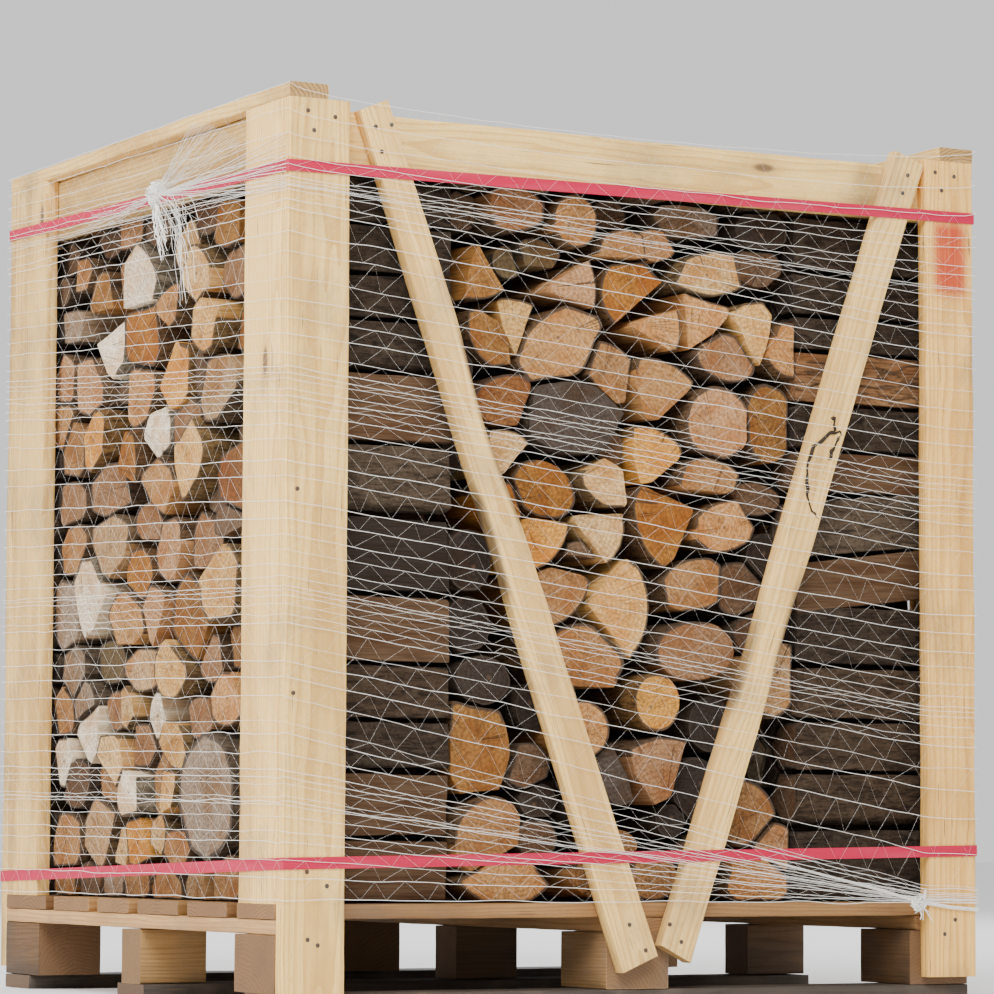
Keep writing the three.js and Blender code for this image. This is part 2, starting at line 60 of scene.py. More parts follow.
# Footprint of the pallet, thickness of a plank and the planks' front face, read from the frame.
PALLET_LOW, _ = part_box("deck_board_1")
_, PALLET_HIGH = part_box("deck_board_6")
LENGTH = PALLET_HIGH[0] - PALLET_LOW[0]
DEPTH = PALLET_HIGH[1] - PALLET_LOW[1]
POST_LOW, POST_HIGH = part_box("post_front_left_face")
PLANK = POST_HIGH[1] - POST_LOW[1]
FRONT = PALLET_LOW[1] - PLANK
NODE_NAMES = sorted(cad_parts)

# Colours of the logs' wood; the near-black "dark" is painted deep shade on logs that lie in recesses and
# gaps.
TONES = {
    "cream": (0.66, 0.38, 0.115),
    "pale": (0.62, 0.39, 0.15),
    "white": (0.90, 0.75, 0.52),
    "beige": (0.48, 0.25, 0.085),
    "sand": (0.44, 0.27, 0.12),
    "tan": (0.35, 0.18, 0.065),
    "yellow": (0.66, 0.32, 0.06),
    "orange": (0.34, 0.14, 0.022),
    "amber": (0.31, 0.145, 0.035),
    "peach": (0.52, 0.26, 0.085),
    "pink": (0.44, 0.235, 0.10),
    "rose": (0.29, 0.155, 0.07),
    "russet": (0.22, 0.09, 0.025),
    "umber": (0.135, 0.08, 0.042),
    "olive": (0.13, 0.088, 0.038),
    "ash": (0.30, 0.22, 0.145),
    "slate": (0.07, 0.052, 0.038),
    "dark": (0.040, 0.029, 0.021),
}

# Colour factors of single boards. The darker blocks are painted shade under the deck, and the darker, greyer
# top_board_left is painted shade of its recess; the others are stained more or less.
BOARD_TINTS_AND_SHADE = {
    "block_rear_left": (0.42, 0.36, 0.30),
    "block_middle_left": (1.15, 1.15, 1.0),
    "block_front_left": (0.85, 0.70, 0.55),
    "block_front_centre": (1.25, 1.25, 1.25),
    "block_front_right": (0.45, 0.40, 0.36),
    "block_middle_centre": (0.35, 0.32, 0.30),
    "block_middle_right": (0.40, 0.36, 0.32),
    "block_rear_centre": (0.45, 0.40, 0.36),
    "deck_board_1": (0.80, 0.76, 0.70),
    "deck_board_2": (0.55, 0.50, 0.42),
    "deck_board_3": (0.66, 0.64, 0.52),
    "deck_board_4": (0.95, 0.95, 0.90),
    "deck_board_5": (0.90, 0.86, 0.78),
    "deck_board_6": (0.42, 0.38, 0.34),
    "stringer_left": (1.30, 1.35, 1.40),
    "top_board_left": (0.74, 0.74, 0.78),
    "top_board_front": (1.08, 1.10, 1.05),
    "post_front_left_face": (1.08, 1.08, 1.0),
    "post_front_right_face": (1.08, 0.96, 0.74),
}


def join(*values):
    """The values side by side along a last axis, single numbers repeated to the others' shape."""
    return np.stack(np.broadcast_arrays(*values), axis=-1)


def unit(vectors):
    """The vectors scaled to a length of one."""
    return vectors / np.linalg.norm(vectors, axis=1)[:, None]


# Noise

def lattice(whole, seed):
    """Random value in 0..1 of a whole-number corner: the fraction of a large sine of its coordinates."""
    value = np.sin(whole @ np.array([127.1, 311.7, 74.7]) + seed * 53.3) * 43758.5453
    return value - np.floor(value)


def noise(points, seed=0.0):
    """Smooth noise in -1..1: the eight corners' random values, mixed by 3t^2 - 2t^3 along each axis."""
    whole = np.floor(points)
    part = points - whole
    ease = part * part * (3 - 2 * part)
    total = np.zeros(points.shape[:-1])
    for corner in range(8):
        step = np.array([corner & 1, corner >> 1 & 1, corner >> 2 & 1])
        share = np.prod(np.where(step, ease, 1 - ease), axis=-1)
        total += share * lattice(whole + step, seed)
    return total * 2 - 1


def layered(points, seed=0.0, layers=3):
    """Noise summed over layers, each twice as fine and half as strong as the one before."""
    return sum(noise(points * 2 ** layer, seed + layer) / 2 ** layer for layer in range(layers))


# Meshes

ATTRIBUTE_KINDS = {
    (): ("FLOAT", "value"),
    (3,): ("FLOAT_VECTOR", "vector"),
    (4,): ("FLOAT_COLOR", "color"),
}


class Build:
    """Gathers grids of vertices and faces with their attributes, and makes one mesh of them."""

    def __init__(self):
        self.vertices = []
        self.quads = []
        self.triangles = []
        self.quad_slots = []
        self.attributes = {}
        self.count = 0

    def add(self, vertices, quads, triangles, quad_slots=0, **attributes):
        """One closed form; its quads take their material slots from quad_slots, its triangles the first."""
        self.vertices.append(vertices)
        self.quads.append(quads + self.count)
        self.triangles.append(triangles + self.count)
        self.quad_slots.append(np.broadcast_to(quad_slots, len(quads)))
        for name, values in attributes.items():
            self.attributes.setdefault(name, []).append(values)
        self.count += len(vertices)

    def finish(self, name, materials, slot, replaced=(), sharp=40.0):
        """One mesh object at the origin, with vertex attributes, sharp edges by angle, riding on the body."""
        vertices = np.concatenate(self.vertices)
        quads = np.concatenate(self.quads)
        triangles = np.concatenate(self.triangles)
        mesh = bpy.data.meshes.new(name)
        mesh.vertices.add(len(vertices))
        mesh.vertices.foreach_set("co", vertices.astype(np.float32).ravel())
        mesh.loops.add(quads.size + triangles.size)
        used = np.concatenate([quads.ravel(), triangles.ravel()])
        mesh.loops.foreach_set("vertex_index", used.astype(np.int32))
        mesh.polygons.add(len(quads) + len(triangles))
        starts = np.concatenate([np.arange(len(quads)) * 4, quads.size + np.arange(len(triangles)) * 3])
        mesh.polygons.foreach_set("loop_start", starts.astype(np.int32))
        slots = np.concatenate([*self.quad_slots, np.zeros(len(triangles), int)])
        for material in materials:
            mesh.materials.append(material)
        mesh.polygons.foreach_set("material_index", slots.astype(np.int32))
        mesh.update(calc_edges=True)
        mesh.polygons.foreach_set("use_smooth", np.ones(len(slots), bool))
        mesh.set_sharp_from_angle(angle=math.radians(sharp))
        for key, parts in self.attributes.items():
            values = np.concatenate(parts).astype(np.float32)
            kind, field = ATTRIBUTE_KINDS[values.shape[1:]]
            mesh.attributes.new(key, kind, "POINT").data.foreach_set(field, values.ravel())
        if mesh.validate():
            raise RuntimeError(f"{name} had faces that do not hold")
        piece = bpy.data.objects.new(name, mesh)
        bpy.context.scene.collection.objects.link(piece)
        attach(piece, BODY)
        if replaced:
            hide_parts(*replaced)


def around(rows, columns):
    """Quads of a grid of rows by columns whose columns run round a closed section."""
    row, column = np.meshgrid(np.arange(rows - 1), np.arange(columns), indexing="ij")
    here = row * columns
    above = here + columns
    after = (column + 1) % columns
    return np.stack([here + column, above + column, above + after, here + after], axis=-1).reshape(-1, 4)


def bridge(low, high):
    """Quads between two rings, which are given by the numbers of their points."""
    return join(low, high, np.roll(high, -1), np.roll(low, -1))


def fan(hub, ring):
    """Triangles from a middle point to a ring."""
    return join(hub, ring, np.roll(ring, -1))


def tube(build, path, sideways, upward, radius, sides=3, closed=False, **attributes):
    """A tube: points path + radius (cos a sideways + sin a upward), with capped ends unless it is closed."""
    angle = np.arange(sides) * 2 * math.pi / sides + math.pi / 2
    radius = np.broadcast_to(radius, len(path))[:, None, None]
    ring = np.cos(angle)[:, None] * sideways[:, None] + np.sin(angle)[:, None] * upward[:, None]
    points = (path[:, None] + radius * ring).reshape(-1, 3)
    quads = around(len(path), sides)
    last = (len(path) - 1) * sides
    if closed:
        step = np.arange(sides)
        quads = np.concatenate([quads, bridge(last + step, step)])
        triangles = np.zeros((0, 3), int)
    else:
        step = np.arange(1, sides - 1)
        near = join(0, step, step + 1)
        triangles = np.concatenate([near, near[:, ::-1] + last])
    if np.dot(np.cross(sideways[0], upward[0]), path[1] - path[0]) > 0:
        quads = quads[:, ::-1]
        triangles = triangles[:, ::-1]
    for key, value in attributes.items():
        attributes[key] = np.broadcast_to(value, (len(points), *np.shape(value)))
    build.add(points, quads, triangles, **attributes)


def everywhere(path, direction):
    """The same direction at every point of a path."""
    return np.broadcast_to(direction, path.shape)


def ahead_of(path):
    """Unit directions along an open path, from the differences between its points."""
    return unit(np.gradient(path, axis=0))


# Materials

def opaque(colour):
    """The colour with full cover as its fourth value."""
    return (*colour[:3], 1.0)


class Shader:
    """A node material: add() makes a node whose inputs are values or other nodes' outputs."""

    def __init__(self, name):
        self.material = bpy.data.materials.new(name)
        self.material.use_nodes = True
        self.tree = self.material.node_tree
        self.tree.nodes.clear()

    def fill(self, socket, value):
        """Links a socket to another node's output, or sets it to a constant."""
        if isinstance(value, bpy.types.NodeSocket):
            self.tree.links.new(value, socket)
        else:
            socket.default_value = value

    def add(self, kind, inputs=None, output=0, **settings):
        node = self.tree.nodes.new(kind)
        for key, value in settings.items():
            setattr(node, key, value)
        for key, value in (inputs or {}).items():
            self.fill(node.inputs[key], value)
        return node.outputs[output]

    def math(self, operation, first, second=0.0):
        return self.add("ShaderNodeMath", {0: first, 1: second}, operation=operation)

    def times(self, first, second):
        return self.math("MULTIPLY", first, second)

    def plus(self, first, second):
        return self.math("ADD", first, second)

    def minus(self, first, second):
        return self.math("SUBTRACT", first, second)

    def far(self, first, second):
        """Distance of two coordinates from zero: the root of the sum of their squares."""
        return self.math("SQRT", self.plus(self.math("POWER", first, 2.0), self.math("POWER", second, 2.0)))

    def stretch(self, vector, *factors):
        return self.add("ShaderNodeVectorMath", {0: vector, 1: factors}, operation="MULTIPLY")

    def shifted(self, vector, shift):
        return self.add("ShaderNodeVectorMath", {0: vector, 1: shift}, operation="ADD")

    def mix(self, factor, first, second, blend="MIX"):
        first, second = (
            end if isinstance(end, bpy.types.NodeSocket) else opaque(end) for end in (first, second)
        )
        return self.add(
            "ShaderNodeMix", {0: factor, 6: first, 7: second}, 2, data_type="RGBA", blend_type=blend
        )

    def tinted(self, colour, *tint):
        return self.mix(1.0, colour, tint, "MULTIPLY")

    def noise(self, vector, scale, detail=3.0, distortion=0.0):
        settings = {"Vector": vector, "Scale": scale, "Detail": detail, "Distortion": distortion}
        return self.add("ShaderNodeTexNoise", {**settings, "Roughness": 0.55})

    def span(self, value, low, high, to_low=0.0, to_high=1.0):
        """Maps low..high to to_low..to_high and holds the ends."""
        settings = {"Value": value, "From Min": low, "From Max": high, "To Min": to_low, "To Max": to_high}
        return self.add("ShaderNodeMapRange", settings, interpolation_type="SMOOTHSTEP")

    def attribute(self, name, output="Fac"):
        return self.add("ShaderNodeAttribute", None, output, attribute_name=name)

    def place(self):
        """Object coordinates."""
        return self.add("ShaderNodeTexCoord", None, "Object")

    def split(self, vector):
        node = self.tree.nodes.new("ShaderNodeSeparateXYZ")
        self.tree.links.new(vector, node.inputs[0])
        return node.outputs

    def join(self, x, y, z):
        return self.add("ShaderNodeCombineXYZ", {0: x, 1: y, 2: z})

    def seeded(self, seed, first, second):
        """Three different multiples of the seed, to shift a pattern by."""
        return self.join(seed, self.times(seed, first), self.times(seed, second))

    def bump(self, height, distance, strength=1.0):
        return self.add("ShaderNodeBump", {"Height": height, "Distance": distance, "Strength": strength})

    def finish(self, colour, roughness, normal=None, **constants):
        shader = self.tree.nodes.new("ShaderNodeBsdfPrincipled")
        output = self.tree.nodes.new("ShaderNodeOutputMaterial")
        self.tree.links.new(shader.outputs[0], output.inputs[0])
        self.fill(shader.inputs["Base Color"], colour)
        self.fill(shader.inputs["Roughness"], roughness)
        if normal is not None:
            self.fill(shader.inputs["Normal"], normal)
        for key, value in constants.items():
            shader.inputs[key.replace("_", " ")].default_value = value
        return self.material


def sawn_wood(name, early, late, stain, weather):
    """Sawn softwood cut from a trunk: rings about the heart, fibres, knots, saw marks and grey stains."""
    s = Shader(name)
    grain = s.attribute("grain", "Vector")
    seed = s.attribute("seed")
    along, across, through = s.split(grain)
    shift = s.seeded(seed, 3.7, 1.9)

    def field(length, width, detail=3.0):
        """Noise with cells 1 / length metres long and 1 / width metres wide."""
        return s.noise(s.shifted(s.stretch(grain, length, width, width), shift), 1.0, detail)

    bent = s.plus(s.far(across, through), s.times(field(2.2, 14.0, 2.0), 0.034))
    dark_ring = s.span(s.math("FRACT", s.times(bent, 165.0)), 0.45, 0.95)
    fibre = field(9.0, 420.0)
    broad = field(3.0, 18.0)
    wood = s.mix(s.times(dark_ring, 0.62), early, late)
    wood = s.mix(s.span(fibre, 0.35, 0.75, 0.0, 0.42), wood, late)
    wood = s.mix(s.span(broad, 0.42, 0.70, 0.0, 0.75), wood, stain)
    wood = s.mix(s.span(field(150.0, 420.0), 0.56, 0.72, 0.0, 0.5), wood, late)
    wood = s.mix(s.span(field(11.0, 240.0, 1.0), 0.70, 0.78, 0.0, 0.75), wood, (0.16, 0.085, 0.035))
    flat = s.join(s.plus(s.times(along, 3.1), seed), s.times(across, 9.0), seed)
    cell = s.add("ShaderNodeTexVoronoi", {"Vector": flat, "Scale": 1.0, "Randomness": 1.0})
    wood = s.mix(s.times(s.span(cell, 0.07, 0.19, 1.0, 0.0), 0.5), wood, stain)
    wood = s.mix(s.times(s.span(cell, 0.045, 0.085, 1.0, 0.0), 0.85), wood, (0.10, 0.05, 0.025))
    grime = s.noise(s.stretch(s.place(), 7.0, 7.0, 7.0), 1.0, 5.0)
    wood = s.mix(s.span(grime, 0.5, 0.75, 0.0, weather), wood, (0.16, 0.12, 0.085))
    # The board's tint: a colour factor that is painted shade on the darker blocks under the deck and on the
    # recessed left top board, and varies the wood elsewhere.
    wood = s.mix(1.0, wood, s.attribute("tint", "Color"), "MULTIPLY")
    crust = s.times(s.attribute("crust"), s.span(broad, 0.3, 0.6, 0.45, 0.95))
    wood = s.mix(crust, wood, (0.075, 0.042, 0.022))
    sawn_end = s.mix(dark_ring, s.mix(0.5, stain, (0.20, 0.10, 0.04)), (0.13, 0.065, 0.028))
    wood = s.mix(s.times(s.span(s.attribute("cut"), 0.3, 0.9), 0.75), wood, sawn_end)
    spray = s.times(s.attribute("spray"), s.span(fibre, 0.2, 0.6, 0.7, 1.0))
    wood = s.mix(spray, wood, (0.50, 0.022, 0.004))
    height = s.plus(s.times(fibre, 0.7), s.times(field(260.0, 16.0, 2.0), 0.5))
    height = s.minus(height, s.times(dark_ring, 0.15))
    return s.finish(wood, s.span(fibre, 0.2, 0.8, 0.62, 0.85), s.bump(height, 0.0011, 0.9))


def log_shader(name):
    """A log's shader, its seed, tone and bark share, the place about its heart, and that place shifted."""
    s = Shader(name)
    seed = s.attribute("seed")
    heart = s.attribute("heart", "Vector")
    near = s.shifted(heart, s.stretch(s.seeded(seed, 2.3, 4.1), 0.37, 0.37, 0.37))
    return s, seed, s.attribute("tone", "Color"), s.attribute("bark"), heart, near


def log_end():
    """The cut end of a log: rings about its heart, rays, drying cracks, saw marks, a line of bark at the rim,
    and a faint painted shade along the rim where the side is split.
    """
    s, seed, tone, bark, heart, near = log_shader("log_end")
    across, up, _ = s.split(heart)
    distance = s.far(across, up)
    bent = s.plus(distance, s.times(s.noise(near, 26.0), 0.010))
    ring = s.span(s.math("PINGPONG", s.times(bent, 250.0), 1.0), 0.35, 1.0)
    angle = s.math("ARCTAN2", up, across)
    spokes = s.join(s.times(s.math("COSINE", angle), 9.0), s.times(s.math("SINE", angle), 9.0), seed)
    ray = s.noise(spokes, 3.2, 2.0)
    crack = s.span(s.math("ABSOLUTE", s.minus(s.noise(spokes, 1.15, 2.0), 0.52)), 0.0, 0.012, 1.0, 0.0)
    crack = s.times(crack, s.span(s.noise(near, 17.0, 1.0), 0.5, 0.62))
    blotch = s.noise(near, 15.0, 4.0, 0.6)
    fleck = s.noise(near, 210.0, 4.0)
    warm = s.tinted(tone, 0.92, 0.62, 0.36)
    dim = s.tinted(tone, 0.46, 0.37, 0.30)
    light = s.tinted(tone, 1.22, 1.25, 1.35)
    wood = s.mix(s.span(blotch, 0.42, 0.66, 0.0, 0.85), light, warm)
    wood = s.mix(s.times(ring, 0.34), wood, dim)
    wood = s.mix(s.span(ray, 0.42, 0.7, 0.0, 0.35), wood, dim)
    wood = s.mix(s.span(fleck, 0.42, 0.68, 0.0, 0.7), wood, dim)
    turn = s.times(seed, 9.0)
    cut = s.plus(s.times(across, s.math("COSINE", turn)), s.times(up, s.math("SINE", turn)))
    marks = s.noise(s.join(s.times(cut, 330.0), seed, s.times(distance, 12.0)), 1.0, 2.0)
    wood = s.mix(s.span(marks, 0.45, 0.7, 0.0, 0.42), wood, dim)
    wood = s.mix(s.span(distance, 0.0012, 0.005, 0.75, 0.0), wood, (0.10, 0.055, 0.03))
    wood = s.mix(s.times(crack, 0.85), wood, (0.06, 0.04, 0.028))
    # Dark rim: bark where the side has bark, and a faint painted shade (the 0.08 share) where the side is
    # split.
    edge = s.span(s.plus(s.attribute("rim"), s.times(s.minus(blotch, 0.5), 0.06)), 0.905, 0.955)
    wood = s.mix(s.times(edge, s.plus(s.times(bark, 0.85), 0.08)), wood, (0.05, 0.036, 0.026))
    height = s.plus(s.times(marks, 0.8), s.times(fleck, 0.5))
    height = s.minus(height, s.plus(s.times(ring, 0.2), s.times(crack, 2.2)))
    return s.finish(wood, 0.86, s.bump(height, 0.0014), Specular_IOR_Level=0.25)


def log_side():
    """The long side of a log: split faces with fibres along it, and rough bark with furrows and lichen."""
    s, _, tone, bark, _, near = log_shader("log_side")
    fibre = s.noise(s.stretch(near, 330.0, 330.0, 14.0), 1.0, 4.0)
    streak = s.noise(s.stretch(near, 60.0, 60.0, 7.0), 1.0, 5.0, 0.8)
    wood = s.mix(s.span(streak, 0.35, 0.7, 0.0, 0.9), tone, s.tinted(tone, 0.62, 0.44, 0.30))
    wood = s.mix(s.span(fibre, 0.4, 0.72, 0.0, 0.75), wood, s.tinted(tone, 0.45, 0.38, 0.34))
    plates = s.noise(s.stretch(near, 120.0, 120.0, 26.0), 1.0, 5.0, 1.1)
    scale = s.noise(near, 190.0, 4.0)
    lichen = s.span(s.noise(near, 45.0, 6.0), 0.5, 0.72)
    crust = s.mix(0.22, (0.042, 0.027, 0.0165), tone)
    furrow = s.tinted(crust, 0.26, 0.24, 0.22)
    rind = s.mix(s.span(plates, 0.30, 0.60), furrow, crust)
    rind = s.mix(s.times(lichen, 0.4), rind, s.mix(0.5, crust, (0.13, 0.10, 0.066)))
    rind = s.mix(s.span(scale, 0.45, 0.7, 0.0, 0.6), rind, furrow)
    share = s.span(s.plus(bark, s.times(s.minus(plates, 0.5), 0.7)), 0.42, 0.58)
    rough = s.plus(s.times(plates, 2.6), s.times(scale, 0.9))
    height = s.plus(s.times(rough, share), s.times(fibre, 0.7))
    return s.finish(s.mix(share, wood, rind), 0.9, s.bump(height, 0.0016), Specular_IOR_Level=0.2)


def band_plastic(colour):
    """Embossed strapping: a fine diamond press in pinkish red plastic with scuffs and a slight sheen."""
    s = Shader("band_plastic")
    place = s.place()
    x, y, z = s.split(place)
    run = s.plus(x, y)
    rise = s.math("SINE", s.times(s.plus(run, z), 1500.0))
    fall = s.math("SINE", s.times(s.minus(run, z), 1500.0))
    scuff = s.noise(s.stretch(place, 9.0, 9.0, 60.0), 1.0, 4.0)
    paler = s.mix(0.1, colour, (0.9, 0.45, 0.5))
    surface = s.mix(s.span(scuff, 0.42, 0.72, 0.0, 0.55), colour, paler)
    press = s.bump(s.times(rise, fall), 0.0004, 0.5)
    return s.finish(surface, s.span(scuff, 0.3, 0.7, 0.42, 0.62), press, Specular_IOR_Level=0.3)


def net_plastic(colour):
    """White knitted plastic: tape that is darker where its fold bump is low and brighter where it is high,
    painted shade and highlight on the folds.
    """
    s = Shader("net_plastic")
    fold = s.noise(s.stretch(s.place(), 160.0, 160.0, 160.0), 1.0, 2.0)
    # Painted shade and highlight: the tape's colour follows the fold bump's height.
    tape = s.mix(s.span(fold, 0.3, 0.7), [value * 0.86 for value in colour], colour)
    return s.finish(tape, 0.42, s.bump(fold, 0.0003, 0.4))


def nail_steel():
    """Dull nail heads with brown rust blooms."""
    s = Shader("nail_steel")
    rust = s.noise(s.place(), 420.0)
    colour = s.mix(s.span(rust, 0.4, 0.65), (0.09, 0.085, 0.08), (0.13, 0.06, 0.03))
    return s.finish(colour, 0.55, Metallic=0.6)


# Settings

class TimberSettings(bpy.types.PropertyGroup):
    edge: bpy.props.FloatProperty(
        name="Worn edge", description="Radius of a board's long edges", default=2.2 * MM, unit="LENGTH"
    )
    wobble: bpy.props.FloatProperty(
        name="Wobble", description="How far a sawn edge strays inward", default=1.6 * MM, unit="LENGTH"
    )
    step: bpy.props.FloatProperty(
        name="Step", description="Distance between a board's sections", default=12 * MM, unit="LENGTH"
    )
    plank_early: bpy.props.FloatVectorProperty(
        name="Plank, early wood", description="Pale wood of the crate", default=(0.90, 0.60, 0.20),
        subtype="COLOR",
    )
    plank_late: bpy.props.FloatVectorProperty(
        name="Plank, late wood", description="Darker rings of the crate", default=(0.60, 0.31, 0.065),
        subtype="COLOR",
    )
    pallet_early: bpy.props.FloatVectorProperty(
        name="Pallet, early wood", description="Pale wood of the pallet's blocks",
        default=(0.33, 0.19, 0.075), subtype="COLOR",
    )
    pallet_late: bpy.props.FloatVectorProperty(
        name="Pallet, late wood", description="Darker rings of the pallet's blocks",
        default=(0.19, 0.10, 0.035), subtype="COLOR",
    )


class FirewoodSettings(bpy.types.PropertyGroup):
    gap: bpy.props.FloatProperty(
        name="Gap", description="Least gap between two logs", default=2 * MM, unit="LENGTH"
    )
    scatter: bpy.props.FloatProperty(
        name="Scatter", description="How much the log ends stand in and out", default=20 * MM, unit="LENGTH"
    )
    swell: bpy.props.FloatProperty(
        name="Swell", description="How much a log may grow before its neighbours cut it back", default=1.12
    )
    recess: bpy.props.FloatProperty(
        name="Recess", description="How far deep logs lie behind the others", default=20 * MM, unit="LENGTH"
    )
    sides: bpy.props.IntProperty(name="Sides", description="Points round a log", default=40)
    sections: bpy.props.IntProperty(name="Sections", description="Sections along a log", default=8)


class NetSettings(bpy.types.PropertyGroup):
    rows: bpy.props.IntProperty(name="Rows", description="Level strands from bottom to top", default=62)
    radius: bpy.props.FloatProperty(
        name="Strand radius", description="Radius of a level strand", default=0.45 * MM, unit="LENGTH"
    )
    thread: bpy.props.FloatProperty(
        name="Thread radius", description="Radius of the threads between strands", default=0.135 * MM,
        unit="LENGTH",
    )
    mesh: bpy.props.FloatProperty(
        name="Mesh", description="Distance between two turns of a thread", default=52 * MM, unit="LENGTH"
    )
    colour: bpy.props.FloatVectorProperty(
        name="Net", description="Colour of the net", default=(0.88, 0.85, 0.79), subtype="COLOR"
    )


class StageSettings(bpy.types.PropertyGroup):
    band: bpy.props.FloatVectorProperty(
        name="Band", description="Colour of the bands", default=(0.50, 0.003, 0.045), subtype="COLOR"
    )
    lens: bpy.props.FloatProperty(
        name="Lens", description="Focal length for a 36 mm wide picture", default=149.8, unit="CAMERA"
    )
    key: bpy.props.FloatProperty(
        name="Key light", description="Power of the large light overhead", default=450.0, unit="POWER"
    )
    sky: bpy.props.FloatProperty(name="Sky", description="Strength of the even light all round", default=0.95)


# Timber

# How far along a quarter-round edge each of its points is, as a share of its radius.
QUARTER = np.array([0.0, 0.5, 0.87, 1.0])

# How much of an edge has to be missing before bark covers it, and the size of the ring that closes an end.
BARK_FULL = 2 * MM
END_INSET = 0.97


def plank_outline(width, depth, corner):
    """A board's section: flats and quarter-round corners, from the lower left to the right and round."""
    flat = np.linspace(corner, width - corner, max(5, int(width / (8 * MM))))
    rise = np.linspace(corner, depth - corner, 4)[1:-1]
    turn = corner * join(QUARTER, 1 - QUARTER[::-1])[1:-1]
    return np.concatenate([
        join(flat, 0),
        np.array([width - corner, 0]) + turn,
        join(width, rise),
        np.array([width, depth - corner]) + join(-turn[:, 1], turn[:, 0]),
        join(flat[::-1], depth),
        np.array([corner, depth]) - turn,
        join(0, rise[::-1]),
        np.array([0, corner]) + join(turn[:, 1], -turn[:, 0]),
    ])


def board(build, end_a, end_b, thick, seed, settings, wane=None, spray=None, tint=None, burl=None):
    """A board between two end lines. end_a and end_b each hold a left and a right corner, and thick is the
    vector through the board. A point is left + (right - left) s + thick w, where (s, w) runs round a
    rectangle with quarter-round corners, and its edges stray inward by noise along the board."""
    a_left, a_right = np.array(end_a, float)
    b_left, b_right = np.array(end_b, float)
    thick = np.array(thick, float)
    depth = np.linalg.norm(thick)
    width = np.linalg.norm(a_right - a_left)
    length = np.linalg.norm((b_left + b_right - a_left - a_right) / 2)
    rows = max(8, int(length / settings.step))
    t = np.linspace(0, 1, rows)
    corner = min(settings.edge, width / 3, depth / 3)
    section = plank_outline(width, depth, corner)
    count = len(section)
    line = join(t * length * 9, seed, 0)
    missing = np.zeros((2, rows)) if wane is None else np.array(wane(t))
    left_pull, right_pull = (
        settings.wobble * (0.5 + 0.5 * layered(line, seed + more)) / width + gone / width
        for more, gone in zip((0, 5), missing)
    )
    s = left_pull[:, None] + section[:, 0] / width * (1 - left_pull - right_pull)[:, None]
    w = section[:, 1] / depth
    face = join(t[:, None] * length * 30, s * width * 60, w * 2.0)
    w = w + 0.35 * MM * (1 + noise(face, seed)) / depth * (1 - 2 * w)
    left = a_left + (b_left - a_left) * t[:, None]
    across = a_right - a_left + (b_right - b_left - a_right + a_left) * t[:, None]
    points = left[:, None] + across[:, None] * s[..., None] + thick * w[..., None]
    centre = points.mean(axis=1)
    insets = [centre[row] + (points[row] - centre[row]) * END_INSET for row in (0, -1)]
    vertices = np.concatenate([points.reshape(-1, 3), *insets, centre[[0, -1]]])
    body = rows * count
    step = np.arange(count)
    near_ring = bridge(body + step, step)[:, ::-1]
    far_ring = bridge(body - count + step, body + count + step)[:, ::-1]
    quads = np.concatenate([around(rows, count), near_ring, far_ring])
    hub = body + 2 * count
    fans = np.concatenate([fan(hub, body + step), fan(hub + 1, body + count + step)[:, [0, 2, 1]]])
    if np.dot(np.cross(a_right - a_left, thick), b_left - a_left) > 0:
        quads = quads[:, ::-1]
        fans = fans[:, ::-1]
    heart = (seed * 0.37 % 1 - 0.5) * 0.16
    below = 0.02 + (seed * 0.71 % 1) * 0.07
    grain = join(t[:, None] * length, s * width - width / 2 + heart, w * depth + below)
    ends = join([0, length], heart, below + depth / 2)
    grain = np.concatenate([grain.reshape(-1, 3), grain[0], grain[-1], ends])
    cut = (np.arange(len(vertices)) >= body).astype(float)
    crust = np.zeros((rows, count))
    crust[:, section[:, 0] < corner * 1.01] = np.minimum(missing[0] / BARK_FULL, 1)[:, None]
    crust[:, section[:, 0] > width - corner * 1.01] = np.minimum(missing[1] / BARK_FULL, 1)[:, None]
    crust = np.append(crust, np.zeros(len(vertices) - body))
    if burl is not None:
        crust = np.maximum(crust, burl(vertices))
    if tint is None:
        tint = (1 + 0.12 * math.sin(seed * 7.3),) * 3
    build.add(
        vertices, quads, fans,
        grain=grain, seed=np.full(len(vertices), seed),
        spray=np.zeros(len(vertices)) if spray is None else spray(vertices),
        cut=cut, crust=crust, tint=np.broadcast_to((*tint, 1.0), (len(vertices), 4)),
    )


def straight(name, seed, settings, material, slot, along=None, spray=None, burl=None):
    """The board that stands for one straight CAD timber, along its longest side unless told otherwise."""
    low, high = (np.array(corner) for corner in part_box(name))
    size = high - low
    along = int(np.argmax(size)) if along is None else along
    others = [axis for axis in range(3) if axis != along]
    through, across = sorted(others, key=lambda axis: size[axis])
    sides = np.diag(size)
    start = np.array([low, low + sides[across]])
    build = Build()
    end = start + sides[along]
    board(build, start, end, sides[through], seed, settings, None, spray, BOARD_TINTS_AND_SHADE.get(name), burl)
    build.finish(name.replace("_", "-"), [material], slot, [name], 50.0)


def bite(t, middle, half, depth):
    """A smooth hollow in a board's edge: depth times a raised cosine about middle."""
    near = np.clip(np.abs(t - middle) / half, 0, 1)
    return depth * (0.5 + 0.5 * np.cos(np.pi * near))


BRACE_WANES = {
    "brace_front_left": lambda t: (bite(t, 0.5, 0.1, 4 * MM), bite(t, 0.62, 0.14, 11 * MM)),
    "brace_front_right": lambda t: (bite(t, 0.35, 0.1, 3 * MM), bite(t, 0.4, 0.12, 3 * MM)),
}


# The scar's lines on the right brace: share of the way across it from the left, and height in metres.
SCAR_LINES = (
    (
        (0.97, 0.866), (0.80, 0.872), (0.56, 0.868), (0.32, 0.857), (0.09, 0.846), (0.05, 0.820),
        (0.20, 0.790), (0.42, 0.766), (0.72, 0.746), (0.96, 0.735),
    ),
    ((0.66, 0.870), (0.52, 0.889), (0.42, 0.893)),
    ((0.88, 0.868), (0.78, 0.846), (0.74, 0.826)),
)


